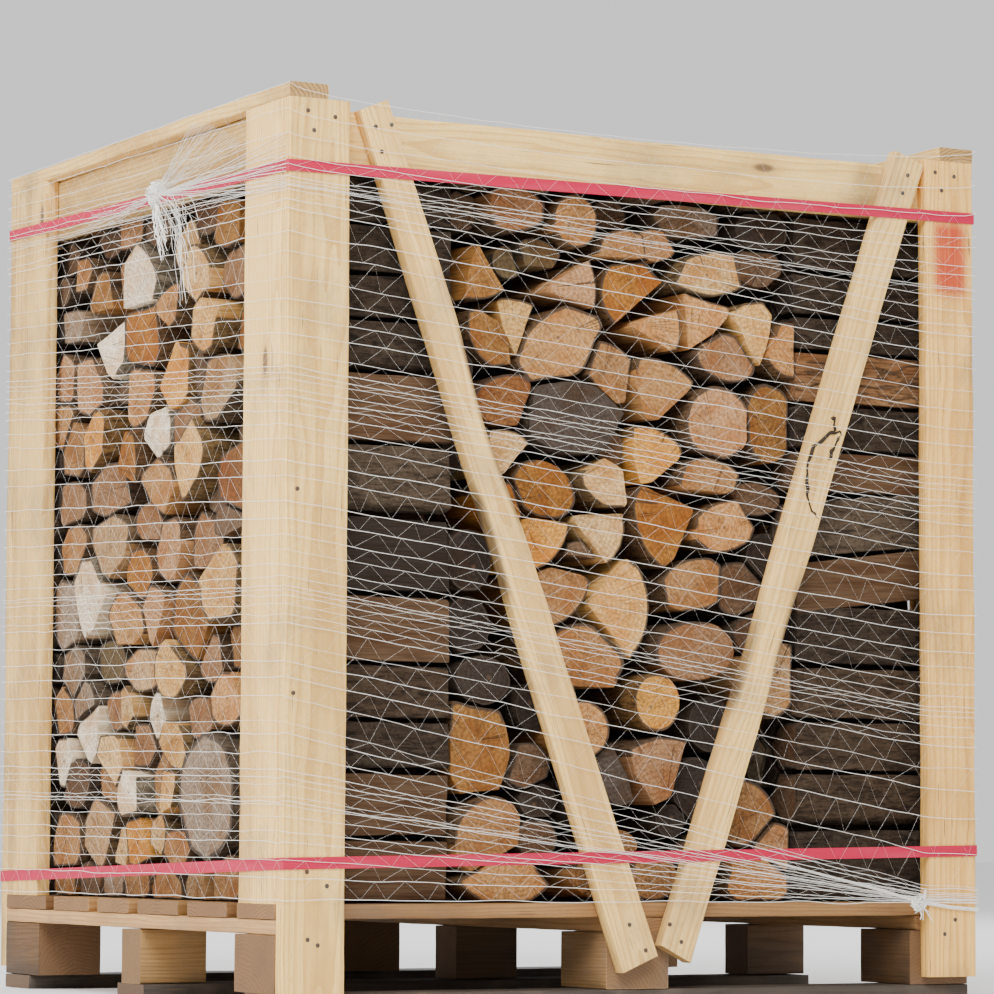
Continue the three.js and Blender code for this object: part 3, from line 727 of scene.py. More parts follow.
def brace_corners(name):
    """The brace's four corners in its face, lower end first, left before right, from its node's vertices."""
    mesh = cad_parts[name].data
    points = np.empty(len(mesh.vertices) * 3)
    mesh.vertices.foreach_get("co", points)
    points = np.unique(points.reshape(-1, 3)[:, [0, 2]].round(4), axis=0)
    points = points[np.argsort(points[:, 1])]
    if len(points) != 4:
        raise RuntimeError(f"{name} has {len(points)} corners in its face")
    lower = points[:2][np.argsort(points[:2, 0])]
    upper = points[2:][np.argsort(points[2:, 0])]
    return lower, upper


class FIREWOOD_OT_pallet(bpy.types.Operator):
    """Pallet: bottom boards, blocks, stringers and deck boards of brown sawn wood"""

    bl_idname = "firewood.pallet"
    bl_label = "Pallet"

    def execute(self, context):
        settings = context.scene.firewood_timber
        early, late = settings.pallet_early, settings.pallet_late
        brown = sawn_wood("pallet_wood", early, late, (0.12, 0.07, 0.03), 0.85)
        deck = sawn_wood("deck_wood", (0.46, 0.25, 0.095), (0.28, 0.14, 0.04), (0.24, 0.125, 0.045), 0.55)
        # Nearly black wood for the bottom boards: painted shade under the pallet.
        bottom_board_shade = sawn_wood(
            "bottom_board_wood", (0.07, 0.052, 0.038), (0.045, 0.033, 0.024), (0.03, 0.023, 0.018), 0.6
        )
        finishes = {
            "bottom_board": (bottom_board_shade, "bottom_board"),
            "block": (brown, "pallet_wood"),
            "stringer": (deck, "pallet_wood"),
            "deck_board": (deck, "pallet_wood"),
        }
        for number, name in enumerate(NODE_NAMES):
            for start, (material, slot) in finishes.items():
                if name.startswith(start):
                    along = 0 if name == "block_front_left" else None
                    straight(name, 11.0 + number, settings, material, slot, along)
        return {"FINISHED"}


# The sprayed bar's middle height, half sizes and soft edges on the right post, and the front board's knot.
BAR_HEIGHT = 1.155
BAR_HALF = np.array([35, 68]) * MM
BAR_SOFT = np.array([12, 22]) * MM
KNOT_SPOT = np.array([PALLET_LOW[0] + 1.012, 1.262])
KNOT_SIZE = np.array([20 * MM, 34 * MM])


def bar(points):
    """A sprayed bar down the middle of the right post's face, with soft edges."""
    low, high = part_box("post_front_right_face")
    middle = np.array([(low[0] + high[0]) / 2, BAR_HEIGHT])
    inside = np.clip((BAR_HALF - np.abs(points[:, [0, 2]] - middle)) / BAR_SOFT, 0, 1)
    return inside[:, 0] * inside[:, 1] * 0.93


def knot_mark(points):
    """A resinous knot near the right end of the front board: full at its middle and gone at 1.5 sizes."""
    away = (points[:, [0, 2]] - KNOT_SPOT) / KNOT_SIZE
    return np.clip(1.5 - np.linalg.norm(away, axis=1), 0, 0.75)


class FIREWOOD_OT_crate(bpy.types.Operator):
    """Crate: corner posts, top rails and the boards on edge between them"""

    bl_idname = "firewood.crate"
    bl_label = "Posts, rails and boards"

    def execute(self, context):
        settings = context.scene.firewood_timber
        plank = sawn_wood("plank_wood", settings.plank_early, settings.plank_late, (0.50, 0.28, 0.075), 0.42)
        for number, name in enumerate(NODE_NAMES):
            if name.startswith(("post", "top_rail", "top_board")):
                spray = bar if name == "post_front_right_face" else None
                burl = knot_mark if name == "top_board_front" else None
                straight(name, 71.0 + number, settings, plank, "crate_plank", spray=spray, burl=burl)
        return {"FINISHED"}


class FIREWOOD_OT_braces(bpy.types.Operator):
    """Braces: two slanted planks in a V on the front, with waney edges, and two on the rear"""

    bl_idname = "firewood.braces"
    bl_label = "Braces"

    def execute(self, context):
        settings = context.scene.firewood_timber
        plank = bpy.data.materials["plank_wood"]
        names = [name for name in NODE_NAMES if name.startswith("brace")]
        for number, name in enumerate(names):
            low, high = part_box(name)
            ends = [[(x, low[1], z) for x, z in corners] for corners in brace_corners(name)]
            thick = (0, high[1] - low[1], 0)
            build = Build()
            board(build, *ends, thick, 131.0 + number, settings, BRACE_WANES.get(name))
            build.finish(name.replace("_", "-"), [plank], "crate_plank", [name], 50.0)
        return {"FINISHED"}


class FIREWOOD_OT_bands(bpy.types.Operator):
    """Bands: the two straps keep their form from the frame and get an embossed plastic finish"""

    bl_idname = "firewood.bands"
    bl_label = "Bands"

    def execute(self, context):
        plastic = band_plastic(context.scene.firewood_stage.band)
        for name in ("band_upper", "band_lower"):
            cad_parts[name].material_slots[0].material = plastic
        return {"FINISHED"}


# The viewer's place, and how many degrees the view is turned right from +Y, raised and rolled.
VIEW_PLACE = (-3.1877, -5.8174, 0.2470)
VIEW_TURN = (28.98056, 4.6966, 0.25357)
FLOOR_HALF = 30.0
LAMP_TARGET = Vector((0.0, 0.0, 0.65))

# Each lamp's place, width, and power as a share of the key light's.
LAMPS = (
    ("key", (-2.6, -4.2, 4.6), 3.4, 1.0),
    ("left", (-4.6, -0.4, 2.6), 2.6, 0.42),
    ("rear", (2.8, 4.4, 4.2), 3.4, 0.5),
)


class FIREWOOD_OT_stage(bpy.types.Operator):
    """Stage: a plain pale floor, soft light and the camera at the height of a crouching viewer"""

    bl_idname = "firewood.stage"
    bl_label = "Floor, light and camera"

    def execute(self, context):
        settings = context.scene.firewood_stage
        scene = context.scene
        mesh = bpy.data.meshes.new("floor")
        corners = [(x * FLOOR_HALF, y * FLOOR_HALF, 0) for x, y in ((-1, -1), (1, -1), (1, 1), (-1, 1))]
        mesh.from_pydata(corners, [], [(0, 1, 2, 3)])
        mesh.materials.append(Shader("floor_paper").finish((0.86, 0.86, 0.86, 1.0), 0.9))
        floor = bpy.data.objects.new("floor", mesh)
        scene.collection.objects.link(floor)

        world = bpy.data.worlds.new("sky")
        world.use_nodes = True
        background = world.node_tree.nodes["Background"]
        background.inputs["Color"].default_value = (1.0, 1.0, 1.0, 1.0)
        background.inputs["Strength"].default_value = settings.sky
        scene.world = world

        for name, place, size, share in LAMPS:
            light = bpy.data.lights.new(name, "AREA")
            light.shape = "DISK"
            light.size = size
            light.energy = settings.key * share
            lamp = bpy.data.objects.new(name, light)
            lamp.location = place
            lamp.rotation_euler = (LAMP_TARGET - Vector(place)).to_track_quat("-Z", "Y").to_euler()
            scene.collection.objects.link(lamp)

        yaw, pitch, roll = (math.radians(angle) for angle in VIEW_TURN)
        ahead = Vector((math.sin(yaw), math.cos(yaw), 0.0))
        right = Vector((math.cos(yaw), -math.sin(yaw), 0.0))
        up = Vector(UP)
        forward = ahead * math.cos(pitch) + up * math.sin(pitch)
        upward = up * math.cos(pitch) - ahead * math.sin(pitch)
        turned_right = right * math.cos(roll) + upward * math.sin(roll)
        turned_up = upward * math.cos(roll) - right * math.sin(roll)
        camera = bpy.data.cameras.new("camera")
        camera.sensor_width = 36.0
        camera.lens = settings.lens
        eye = bpy.data.objects.new("camera", camera)
        turn = Matrix((turned_right, turned_up, -forward)).transposed().to_4x4()
        eye.matrix_world = Matrix.Translation(VIEW_PLACE) @ turn
        scene.collection.objects.link(eye)
        scene.camera = eye
        return {"FINISHED"}


# Firewood

def shaped(points, barked, heart, tone, **more):
    """A log's end: its outline as half-planes about its centre of area, in metres, and what each side is."""
    points = np.asarray(points, float) * MM
    after = np.roll(points, -1, axis=0)
    cross = points[:, 0] * after[:, 1] - after[:, 0] * points[:, 1]
    area = cross.sum() / 2
    centre = ((points + after) * cross[:, None]).sum(axis=0) / 6 / area
    side = after - points
    normals = unit(join(side[:, 1], -side[:, 0]))
    offsets = ((points - centre) * normals).sum(axis=1)
    log = {"centre": centre, "area": abs(area), "normals": normals, "offsets": offsets, "tone": tone}
    log.update({"barked": np.asarray(barked, float), "heart": np.asarray(heart, float) * MM})
    log.update(more)
    return log


def arc(x, z, radius, start, stop):
    """Points on a circle about (x, z) from one angle to another, about 8 degrees apart."""
    angle = np.radians(np.linspace(start, stop, max(4, int((stop - start) / 8))))
    return join(x + radius * np.cos(angle), z + radius * np.sin(angle))


def wedge(x, z, radius, start, stop, tone, **more):
    """A log split to its heart: two flat faces that meet there, and a stretch of bark."""
    points = np.concatenate([[(x, z)], arc(x, z, radius, start, stop)])
    barked = np.ones(len(points))
    barked[[0, -1]] = 0
    return shaped(points, barked, (x, z), tone, **more)


def slab(x, z, radius, start, stop, tone, **more):
    """A log split off beside its heart: one flat face and a stretch of bark."""
    points = arc(x, z, radius, start, stop)
    barked = np.ones(len(points))
    barked[-1] = 0
    return shaped(points, barked, (x, z), tone, **more)


def oval(x, z, long, short, tilt, tone, square=2.0, **more):
    """A whole log: a superellipse, |x / long|^n + |z / short|^n = 1, turned by tilt."""
    angle = np.radians(np.arange(0, 360, 9))
    power = 2 / square
    along = long * np.sign(np.cos(angle)) * np.abs(np.cos(angle)) ** power
    rise = short * np.sign(np.sin(angle)) * np.abs(np.sin(angle)) ** power
    turn = math.radians(tilt)
    points = join(
        x + along * math.cos(turn) - rise * math.sin(turn),
        z + along * math.sin(turn) + rise * math.cos(turn),
    )
    return shaped(points, np.ones(len(points)), (x, z), tone, whole=True, **more)


# The middle column's ends: across from the left edge and height, in millimetres and degrees.
FRONT_LOGS = [
    oval(352, 1246, 44, 34, 10, "tan"), oval(448, 1250, 46, 32, -8, "beige"),
    slab(548, 1232, 52, 0, 180, "amber"), oval(646, 1248, 48, 33, 0, "rose"),
    slab(748, 1226, 56, 8, 172, "tan"), oval(846, 1246, 46, 34, 12, "umber"),
    oval(400, 1184, 54, 34, 4, "rose"), oval(507, 1172, 36, 38, 0, "beige"),
    slab(595, 1098, 66, 22, 158, "tan"), wedge(450, 1066, 93, -13, 29, "pink"),
    slab(614, 1070, 55, 25, 235, "orange"), wedge(332, 1138, 94, 264, 304, "amber"),
    wedge(405, 948, 100, 58, 103, "cream"), wedge(391, 1006, 64, 158, 278, "amber"),
    oval(487, 982, 86, 54, 38, "beige", name="log_front_broad_round"), oval(565, 948, 58, 42, -20, "tan"),
    wedge(640, 862, 114, 42, 112, "beige", name="log_front_heart"),
    oval(508, 874, 106, 56, -3, "slate", name="log_front_weathered"), wedge(402, 848, 84, 68, 160, "russet"),
    wedge(385, 786, 64, 48, 130, "pale"), oval(460, 765, 58, 44, -22, "orange", name="log_front_amber"),
    wedge(588, 822, 82, 195, 276, "pale"), oval(393, 738, 34, 34, 0, "orange"),
    oval(275, 736, 32, 28, 0, "russet"), wedge(418, 716, 74, -77, 12, "yellow"),
    wedge(502, 726, 96, -46, 4, "pale"), wedge(444, 650, 92, -74, -10, "tan"),
    wedge(532, 595, 114, -46, 48, "cream", name="log_front_pale_quarter"),
    slab(525, 490, 72, -12, 192, "tan"), oval(520, 405, 47, 44, 0, "beige"),
    oval(651, 450, 43, 46, 0, "yellow", name="log_front_small_round"),
    oval(720, 530, 72, 47, 2, "rose", name="log_front_broad_half"), oval(730, 632, 64, 37, 12, "tan"),
    wedge(722, 748, 114, 162, 246, "orange", name="log_front_orange_quarter"),
    oval(778, 722, 64, 36, 18, "peach"), slab(745, 755, 70, 14, 160, "tan"),
    wedge(635, 775, 92, 38, 111, "yellow"), oval(765, 880, 60, 60, 0, "pink", name="log_front_beige_half"),
    oval(862, 886, 42, 58, 0, "amber"), oval(893, 1001, 47, 42, -10, "peach"),
    wedge(846, 950, 120, 83, 119, "cream"), wedge(718, 978, 107, 46, 95, "peach"),
    oval(778, 982, 54, 34, -12, "rose"), wedge(600, 1022, 88, -27, 17, "beige"),
    oval(755, 1110, 70, 32, 8, "pale"), oval(350, 378, 80, 50, 100, "amber"),
    oval(430, 352, 38, 32, 0, "umber"), oval(362, 250, 57, 49, 40, "tan"),
    slab(395, 242, 96, 200, 340, "beige"), wedge(668, 277, 118, 73, 128, "rose"),
    oval(815, 284, 57, 48, -20, "tan"), oval(868, 230, 42, 38, 0, "pink"),
    slab(840, 222, 78, 188, 352, "beige"), wedge(926, 304, 112, 90, 133, "amber"),
    oval(862, 492, 60, 46, 75, "sand"), slab(445, 1090, 52, 12, 168, "olive"),
    slab(525, 636, 54, 30, 140, "umber"), wedge(895, 1032, 70, 55, 130, "olive"),
    wedge(572, 398, 104, 243, 300, "slate"),
]

# Logs that lie deeper, in the gaps: across, height, half width, half height and tone. Their "dark" tones are
# painted shade in the gaps.
DEEP_FRONT_LOGS = [
    (335, 1180, 26, 30, "umber"), (850, 1185, 46, 30, "dark"), (590, 1190, 30, 26, "umber"),
    (300, 1096, 24, 44, "dark"), (408, 1106, 26, 24, "olive"), (845, 768, 46, 24, "umber"),
    (584, 832, 28, 28, "umber"), (454, 243, 34, 32, "umber"), (692, 272, 24, 24, "dark"),
    (345, 560, 36, 40, "dark"), (368, 478, 44, 34, "dark"), (340, 655, 36, 44, "dark"),
    (322, 832, 26, 44, "dark"), (318, 940, 24, 40, "dark"), (460, 440, 30, 34, "dark"),
    (455, 300, 30, 26, "dark"), (548, 300, 40, 38, "slate"), (560, 190, 44, 32, "tan"),
    (660, 185, 48, 30, "tan"), (745, 215, 40, 34, "umber"), (742, 320, 40, 46, "dark"),
    (768, 420, 36, 40, "dark"), (600, 232, 38, 26, "tan"), (818, 395, 34, 34, "dark"),
    (812, 628, 44, 40, "umber"), (862, 680, 34, 34, "dark"), (840, 560, 36, 30, "umber"),
    (875, 590, 26, 30, "dark"), (850, 1130, 40, 30, "umber"), (662, 1150, 38, 24, "pink"),
    (722, 1192, 80, 24, "ash"),
]

# The side column's ends: across from the rear corner and height.
SIDE_LOGS = [
    oval(70, 1244, 44, 34, 0, "tan"), slab(160, 1224, 50, 4, 176, "beige"),
    oval(254, 1246, 44, 33, -6, "amber"), oval(350, 1248, 48, 32, 8, "rose"),
    slab(448, 1226, 52, 4, 176, "tan"), oval(546, 1246, 46, 34, 0, "umber"),
    oval(640, 1248, 46, 32, -8, "tan"), slab(738, 1228, 50, 0, 180, "beige"),
    oval(832, 1244, 44, 34, 8, "rose"), oval(925, 1246, 44, 34, 0, "umber"),
    oval(725, 1166, 64, 30, -4, "amber"), oval(640, 1098, 54, 32, -35, "pale"),
    slab(690, 1046, 66, 168, 348, "cream"), oval(712, 918, 86, 40, 4, "sand"),
    wedge(490, 918, 122, -8, 50, "yellow"), oval(428, 1026, 62, 48, -20, "orange"),
    oval(528, 1058, 58, 24, 18, "peach"), wedge(412, 888, 128, -33, 6, "white"),
    oval(620, 822, 66, 44, 38, "cream"), oval(762, 780, 48, 54, 0, "russet"),
    oval(745, 622, 72, 50, -40, "cream"), slab(270, 1072, 66, 12, 166, "amber"),
    wedge(382, 1070, 102, 0, 88, "white"), oval(360, 1198, 68, 22, 0, "pink"),
    oval(170, 1066, 62, 22, -2, "ash"), wedge(222, 1020, 118, -27, 14, "white"),
    oval(133, 980, 46, 36, 0, "pink"), oval(240, 962, 64, 38, -6, "pink"),
    oval(415, 932, 66, 38, 12, "peach"), oval(128, 908, 50, 34, -8, "beige"),
    oval(180, 866, 48, 42, 10, "tan"), oval(265, 874, 49, 41, 0, "yellow"),
    wedge(343, 828, 84, -18, 38, "orange"), oval(310, 792, 80, 35, -3, "rose"),
    oval(528, 782, 80, 30, -26, "beige"), oval(472, 728, 50, 29, 0, "rose"),
    oval(535, 686, 50, 42, 0, "pink"), oval(328, 702, 86, 41, -9, "sand"), oval(176, 704, 62, 34, 0, "tan"),
    wedge(248, 566, 110, 46, 130, "white"), oval(158, 600, 50, 60, 0, "ash"),
    slab(390, 556, 66, -6, 182, "beige"), oval(430, 652, 62, 32, 0, "orange"),
    wedge(488, 542, 82, 52, 118, "pink"), oval(615, 576, 108, 44, -28, "amber"),
    oval(575, 503, 54, 40, 0, "cream"), oval(748, 450, 48, 34, 0, "peach"),
    oval(704, 302, 118, 74, 36, "ash"), oval(562, 390, 64, 27, -32, "cream"),
    oval(552, 316, 24, 42, -20, "cream"), oval(415, 312, 38, 36, 0, "white"),
    oval(338, 366, 46, 34, -32, "pale"), oval(312, 328, 44, 26, 0, "tan"),
    wedge(272, 354, 104, 88, 142, "white"), oval(155, 365, 36, 34, 0, "white"),
    oval(208, 328, 50, 32, 0, "umber"), oval(152, 446, 44, 34, 0, "tan"), oval(335, 441, 38, 26, 0, "rose"),
    oval(392, 446, 34, 28, 0, "pale"), oval(488, 430, 24, 30, 0, "white"), oval(432, 386, 64, 27, 0, "rose"),
    oval(290, 252, 64, 46, 0, "sand"), oval(166, 236, 60, 38, 0, "tan"), oval(360, 222, 22, 32, 0, "pale"),
    oval(425, 236, 56, 31, 0, "yellow"), oval(506, 246, 24, 30, 0, "pale"), oval(590, 226, 56, 24, 0, "tan"),
    oval(552, 172, 52, 24, 0, "tan"), oval(352, 172, 38, 20, 0, "ash"), oval(440, 174, 46, 22, 0, "tan"),
    oval(262, 176, 46, 24, 0, "umber"), oval(168, 174, 44, 24, 0, "tan"), oval(654, 176, 46, 26, 0, "sand"),
    oval(748, 182, 46, 30, 0, "tan"),
]

# The side stack's deeper logs, with the same columns; their "dark" tones are painted shade in the gaps.
DEEP_SIDE_LOGS = [
    (735, 1092, 54, 34, "rose"), (590, 1040, 40, 28, "umber"), (592, 872, 48, 34, "rose"),
    (745, 862, 54, 28, "umber"), (205, 1146, 48, 22, "tan"), (338, 946, 34, 16, "umber"),
    (345, 862, 48, 26, "umber"), (168, 778, 56, 30, "rose"), (640, 424, 54, 26, "rose"),
    (487, 322, 36, 46, "tan"), (232, 452, 36, 32, "ash"), (300, 520, 60, 28, "olive"),
    (430, 503, 78, 27, "sand"), (188, 508, 52, 34, "ash"), (680, 512, 40, 30, "rose"),
    (750, 530, 44, 30, "tan"), (640, 690, 44, 46, "rose"), (745, 716, 50, 20, "umber"),
    (660, 748, 34, 22, "umber"), (112, 1180, 46, 24, "umber"), (258, 1196, 40, 22, "umber"),
    (330, 1130, 30, 24, "tan"), (560, 1150, 46, 36, "pale"), (470, 1190, 44, 24, "umber"),
    (640, 1190, 42, 26, "umber"), (115, 1128, 34, 22, "umber"), (735, 1000, 48, 28, "tan"),
    (628, 946, 26, 30, "umber"),
]
DEEP_SIDE_LOGS += [(846, height, 40, 38, "umber") for height in range(200, 1200, 84)]
DEEP_SIDE_LOGS += [
    (110, height, 24, 20, "dark")
    for height in (260, 350, 429, 515, 605, 690, 780, 848, 920, 1004, 1060, 1125)
]

# Logs seen along their length beside the posts: height, half height, tone, bark share, slope and squareness.
# Their dark and umber tones are painted shade of the recess beside the posts.
LEFT_ROW = [
    (1178, 33, "dark", 1.0, 0.0, 2.0), (1106, 36, "dark", 1.0, 0.0, 2.2), (1036, 32, "dark", 1.0, 0.02, 2.0),
    (968, 34, "dark", 1.0, 0.0, 2.0), (872, 56, "umber", 0.0, 0.0, 2.4), (776, 44, "ash", 0.75, 0.0, 2.4),
    (655, 50, "dark", 0.0, 0.0, 2.5), (546, 44, "umber", 0.2, 0.0, 2.6), (455, 38, "umber", 1.0, 0.0, 2.2),
    (380, 34, "dark", 1.0, 0.0, 2.0), (296, 46, "umber", 0.1, 0.0, 2.4), (196, 42, "umber", 0.0, 0.0, 2.6),
]
RIGHT_ROW = [
    (1170, 42, "dark", 1.0, 0.0, 2.0), (1084, 36, "dark", 1.0, 0.0, 2.0), (1032, 32, "slate", 0.6, 0.0, 2.0),
    (962, 42, "rose", 0.45, 0.0, 2.6), (882, 34, "dark", 1.0, 0.0, 2.0), (815, 28, "umber", 0.3, 0.0, 2.4),
    (735, 48, "ash", 0.8, -0.10, 2.4), (648, 40, "umber", 0.1, -0.12, 2.2), (560, 50, "dark", 1.0, 0.0, 2.2),
    (470, 42, "umber", 1.0, 0.0, 2.0), (388, 38, "umber", 1.0, 0.0, 2.2), (312, 36, "umber", 1.0, 0.0, 2.0),
    (208, 52, "dark", 1.0, 0.0, 2.2),
]
ROW_PLACES = ((932, 43, LEFT_ROW), (62, 43, RIGHT_ROW))


def deep(entries):
    """The whole logs that show between the others, farther back."""
    return [oval(x, z, long, short, 0, tone, deep=True) for x, z, long, short, tone in entries]


def rows():
    """The logs beside the posts, one over another at each end of a side stack."""
    logs = []
    for across, half, entries in ROW_PLACES:
        for height, tall, tone, bark, slope, square in entries:
            logs.append(oval(across, height, half, tall, 0, tone, square, row=True, bark=bark, slope=slope))
    return logs


RAYS = np.radians(np.arange(720) / 2)
RAY = join(np.cos(RAYS), np.sin(RAYS))


def reach(normals, offsets):
    """Distance from the centre to the nearest of the half-planes along each ray, and which one it is."""
    facing = RAY @ np.asarray(normals).T
    distance = np.where(facing > 1e-4, np.asarray(offsets) / np.maximum(facing, 1e-4), np.inf)
    return distance.min(axis=1), distance.argmin(axis=1)


def split(log, random):
    """The log with one side split off flat, 0.5 to 0.95 of its mean radius from its centre."""
    turn = random.uniform(0, 2 * math.pi)
    far = random.uniform(0.5, 0.95) * math.sqrt(log["area"] / math.pi)
    return {
        **log,
        "normals": np.concatenate([log["normals"], [(math.cos(turn), math.sin(turn))]]),
        "offsets": np.append(log["offsets"], far),
        "barked": np.append(log["barked"], 0.0),
        "whole": False,
    }


# Logs farther apart than this don't touch, and smaller ones are left out: metres and square metres.
NEIGHBOUR_REACH = 0.26
LEAST_ROOM = 5 * MM
LEAST_AREA = 3.5e-4


def settle(logs, low, high, gap, swell):
    """Cuts each log back along straight lines between it and its neighbours, so that all keep a gap. The line
    lies where both logs have the same power distance, |p - c|^2 - area / pi."""
    centres = np.array([log["centre"] for log in logs])
    areas = np.array([log["area"] for log in logs])
    kept = []
    for log in logs:
        away = centres - log["centre"]
        apart = np.linalg.norm(away, axis=1)
        near = (apart > 1e-6) & (apart < NEIGHBOUR_REACH)
        away, apart = away[near], apart[near]
        share = apart / 2 + (log["area"] - areas[near]) / (2 * math.pi * apart) - gap / 2
        own, side = reach(log["normals"], log["offsets"] * (1.0 if log.get("name") else swell))
        normals = np.concatenate([away / apart[:, None], -np.eye(2), np.eye(2)])
        offsets = np.concatenate([share, log["centre"] - low, high - log["centre"]])
        if offsets.min() < LEAST_ROOM:
            continue
        others, _ = reach(normals, offsets)
        radius = np.minimum(own, others)
        if (radius ** 2).mean() * math.pi < LEAST_AREA:
            continue
        kept.append({**log, "radius": radius, "rind": log["barked"][side]})
    return kept


def blur(values, width):
    """A running mean round the circle, with bell-shaped weights."""
    steps = np.arange(-3 * width, 3 * width + 1)
    weights = np.exp(-0.5 * (steps / width) ** 2)
    return sum(weight * np.roll(values, step) for weight, step in zip(weights / weights.sum(), steps))


def outline(log, sides, random):
    """Angles, radii and bark shares round a log's end, closest together where the outline turns."""
    seed = random.uniform(0, 99)
    circle = join(RAY[:, 0] * 2.1, RAY[:, 1] * 2.1, seed)
    radius = blur(log["radius"], 2)
    radius = radius * (1 - 0.035 * (1 + layered(circle, seed)) / 2) - 0.2 * MM
    if log.get("row"):
        rind = np.full(len(RAY), log["bark"])
    elif log.get("whole"):
        start, width = random.uniform(0, 2 * math.pi), random.uniform(1.0, 3.4)
        rind = (np.abs((RAYS - start + math.pi) % (2 * math.pi) - math.pi) < width).astype(float)
    else:
        rind = log["rind"]
    points = RAY * radius[:, None]
    move = np.roll(points, -1, axis=0) - points
    heading = np.unwrap(np.arctan2(move[:, 1], move[:, 0]))
    weight = np.linalg.norm(move, axis=1) + 0.01 * np.abs(np.roll(heading, -1) - heading).clip(0, 1)
    run = np.concatenate([[0], np.cumsum(weight)])
    turn = np.append(RAYS, 2 * math.pi)
    angle = np.interp(np.arange(sides) / sides * run[-1], run, turn)
    radius, rind = (np.interp(angle, turn, np.append(values, values[0])) for values in (radius, rind))
    return angle, radius, rind


CAP_RINGS = np.array([0.86, 0.6, 0.32])

# How deep the dents are and how far the edge of the cut is worn back, on a row's log and on the others.
ROW_RELIEF = (3.6 * MM, 2.6 * MM)
LOG_RELIEF = (1.3 * MM, 0.9 * MM)


def log_body(build, log, start, stop, place, random, sides, sections, wash):
    """A whole log. Its section, r(angle), is carried from start to stop with fibrous or barky dents in it,
    and each end is closed by rings that shrink to the centre, on a slightly slanted saw cut."""
    angle, radius, rind = outline(log, sides, random)
    seed = random.uniform(0, 40)
    length = stop - start
    chamfer = 1.6 * MM / length
    t = np.concatenate([[0], np.linspace(chamfer, 1 - chamfer, sections), [1]])
    x, z = log["centre"]
    depth, worn = ROW_RELIEF if log.get("row") else LOG_RELIEF
    body = join(x + np.cos(angle) * radius, start + t[:, None] * length, z + np.sin(angle) * radius)
    wide = layered(body * np.array([70.0, 24.0, 70.0]), seed)
    stringy = layered(body * np.array([85.0, 7.0, 85.0]), seed + 3)
    dent = depth * (0.5 + 0.5 * wide) * (0.25 + 0.75 * rind) + 0.45 * depth * (1 + stringy) * (1 - rind)
    narrowing = radius * (0.05 * random.uniform(0, 1) * t[:, None])
    lip = np.where((t < chamfer / 2) | (t > 1 - chamfer / 2), worn, 0.0)[:, None]
    inner = np.maximum(radius - dent - narrowing - lip, radius * 0.4)
    body[..., 0] = x + np.cos(angle) * inner
    body[..., 2] = z + np.sin(angle) * inner
    lean = random.uniform(-0.05, 0.05, (2, 2))
    offset = body[..., [0, 2]] - log["centre"]
    body[..., 1] += (offset @ lean[0]) * (1 - t[:, None]) + (offset @ lean[1]) * t[:, None]
    body[..., 2] += log.get("slope", 0.0) * (body[..., 1] - start - length / 2)
    middles = np.array([body[0].mean(axis=0), body[-1].mean(axis=0)])
    caps = [middles[end] + CAP_RINGS[:, None, None] * (body[-end] - middles[end]) for end in (0, 1)]
    for cap, inward in zip(caps, (1, -1)):
        cap[..., 1] += inward * 0.7 * MM * (0.5 + 0.5 * noise(cap * 90.0, seed + 7))
    points = np.concatenate([body.reshape(-1, 3), *(cap.reshape(-1, 3) for cap in caps), middles])
    total = len(t) * sides
    rings = len(CAP_RINGS)
    step = np.arange(sides)
    quads = [around(len(t), sides)]
    fans = []
    for end, order in ((0, 1), (1, -1)):
        first = total + end * rings * sides
        levels = [end * (total - sides) + step] + [first + ring * sides + step for ring in range(rings)]
        quads += [bridge(within, outside)[:, ::order] for outside, within in zip(levels, levels[1:])]
        fans.append(fan(total + 2 * rings * sides + end, levels[-1])[:, ::order])
    slots = (np.arange(sum(map(len, quads))) < len(quads[0])).astype(int)
    shift = random.uniform(-0.3, 0.3, 2) * radius.min() if log.get("whole") else 0.0
    heart = log["heart"] + shift
    local = join(points[:, 0] - heart[0], points[:, 2] - heart[1], points[:, 1])
    tone = np.array(TONES[log["tone"]]) * wash * random.uniform(0.85, 1.12)
    colour = np.broadcast_to(np.append(tone, 1.0), (len(points), 4))
    rim = np.concatenate([np.ones(total), np.tile(np.repeat(CAP_RINGS, sides), 2), np.zeros(2)])
    barks = np.append(np.tile(rind, len(t) + 2 * rings), [0, 0])
    build.add(
        join(*place(points[:, 0], points[:, 1]), points[:, 2]),
        np.concatenate(quads), np.concatenate(fans), slots,
        heart=local, tone=colour, seed=np.full(len(points), seed), rim=rim, bark=barks,
    )


# Where a stack stands: across and depth from its own corner are turned into the row's X and Y.
PLACES = {
    "front": lambda across, depth: (PALLET_LOW[0] + across, PALLET_LOW[1] + depth),
    "middle": lambda across, depth: (PALLET_LOW[0] + across, PALLET_LOW[1] + depth),
    "rear": lambda across, depth: (PALLET_HIGH[0] - across, PALLET_HIGH[1] - depth),
    "left": lambda across, depth: (PALLET_LOW[0] + depth, PALLET_HIGH[1] - across),
    "right": lambda across, depth: (PALLET_HIGH[0] - depth, PALLET_LOW[1] + across),
}


def stack_box(side):
    """Across, depth and height of a stack's low and high corner, in its own coordinates."""
    low, high = (np.array(corner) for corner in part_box(f"firewood_{side}"))
    near_x, near_y = (np.array([low[:2], high[:2]]) - PALLET_LOW[:2]).T
    far_x, far_y = (PALLET_HIGH[:2] - np.array([high[:2], low[:2]])).T
    across, depth = {
        "front": (near_x, near_y),
        "middle": (near_x, near_y),
        "rear": (far_x, far_y),
        "left": (far_y, near_x),
        "right": (near_y, far_x),
    }[side]
    return join(across, depth, [low[2], high[2]])


# On a side stack the logs swell more, since their split sides leave gaps, and are darker, which is painted
# shade of the side faces.
SIDE_SWELL = 1.16
SIDE_WASH = 0.80
WASH = 0.92

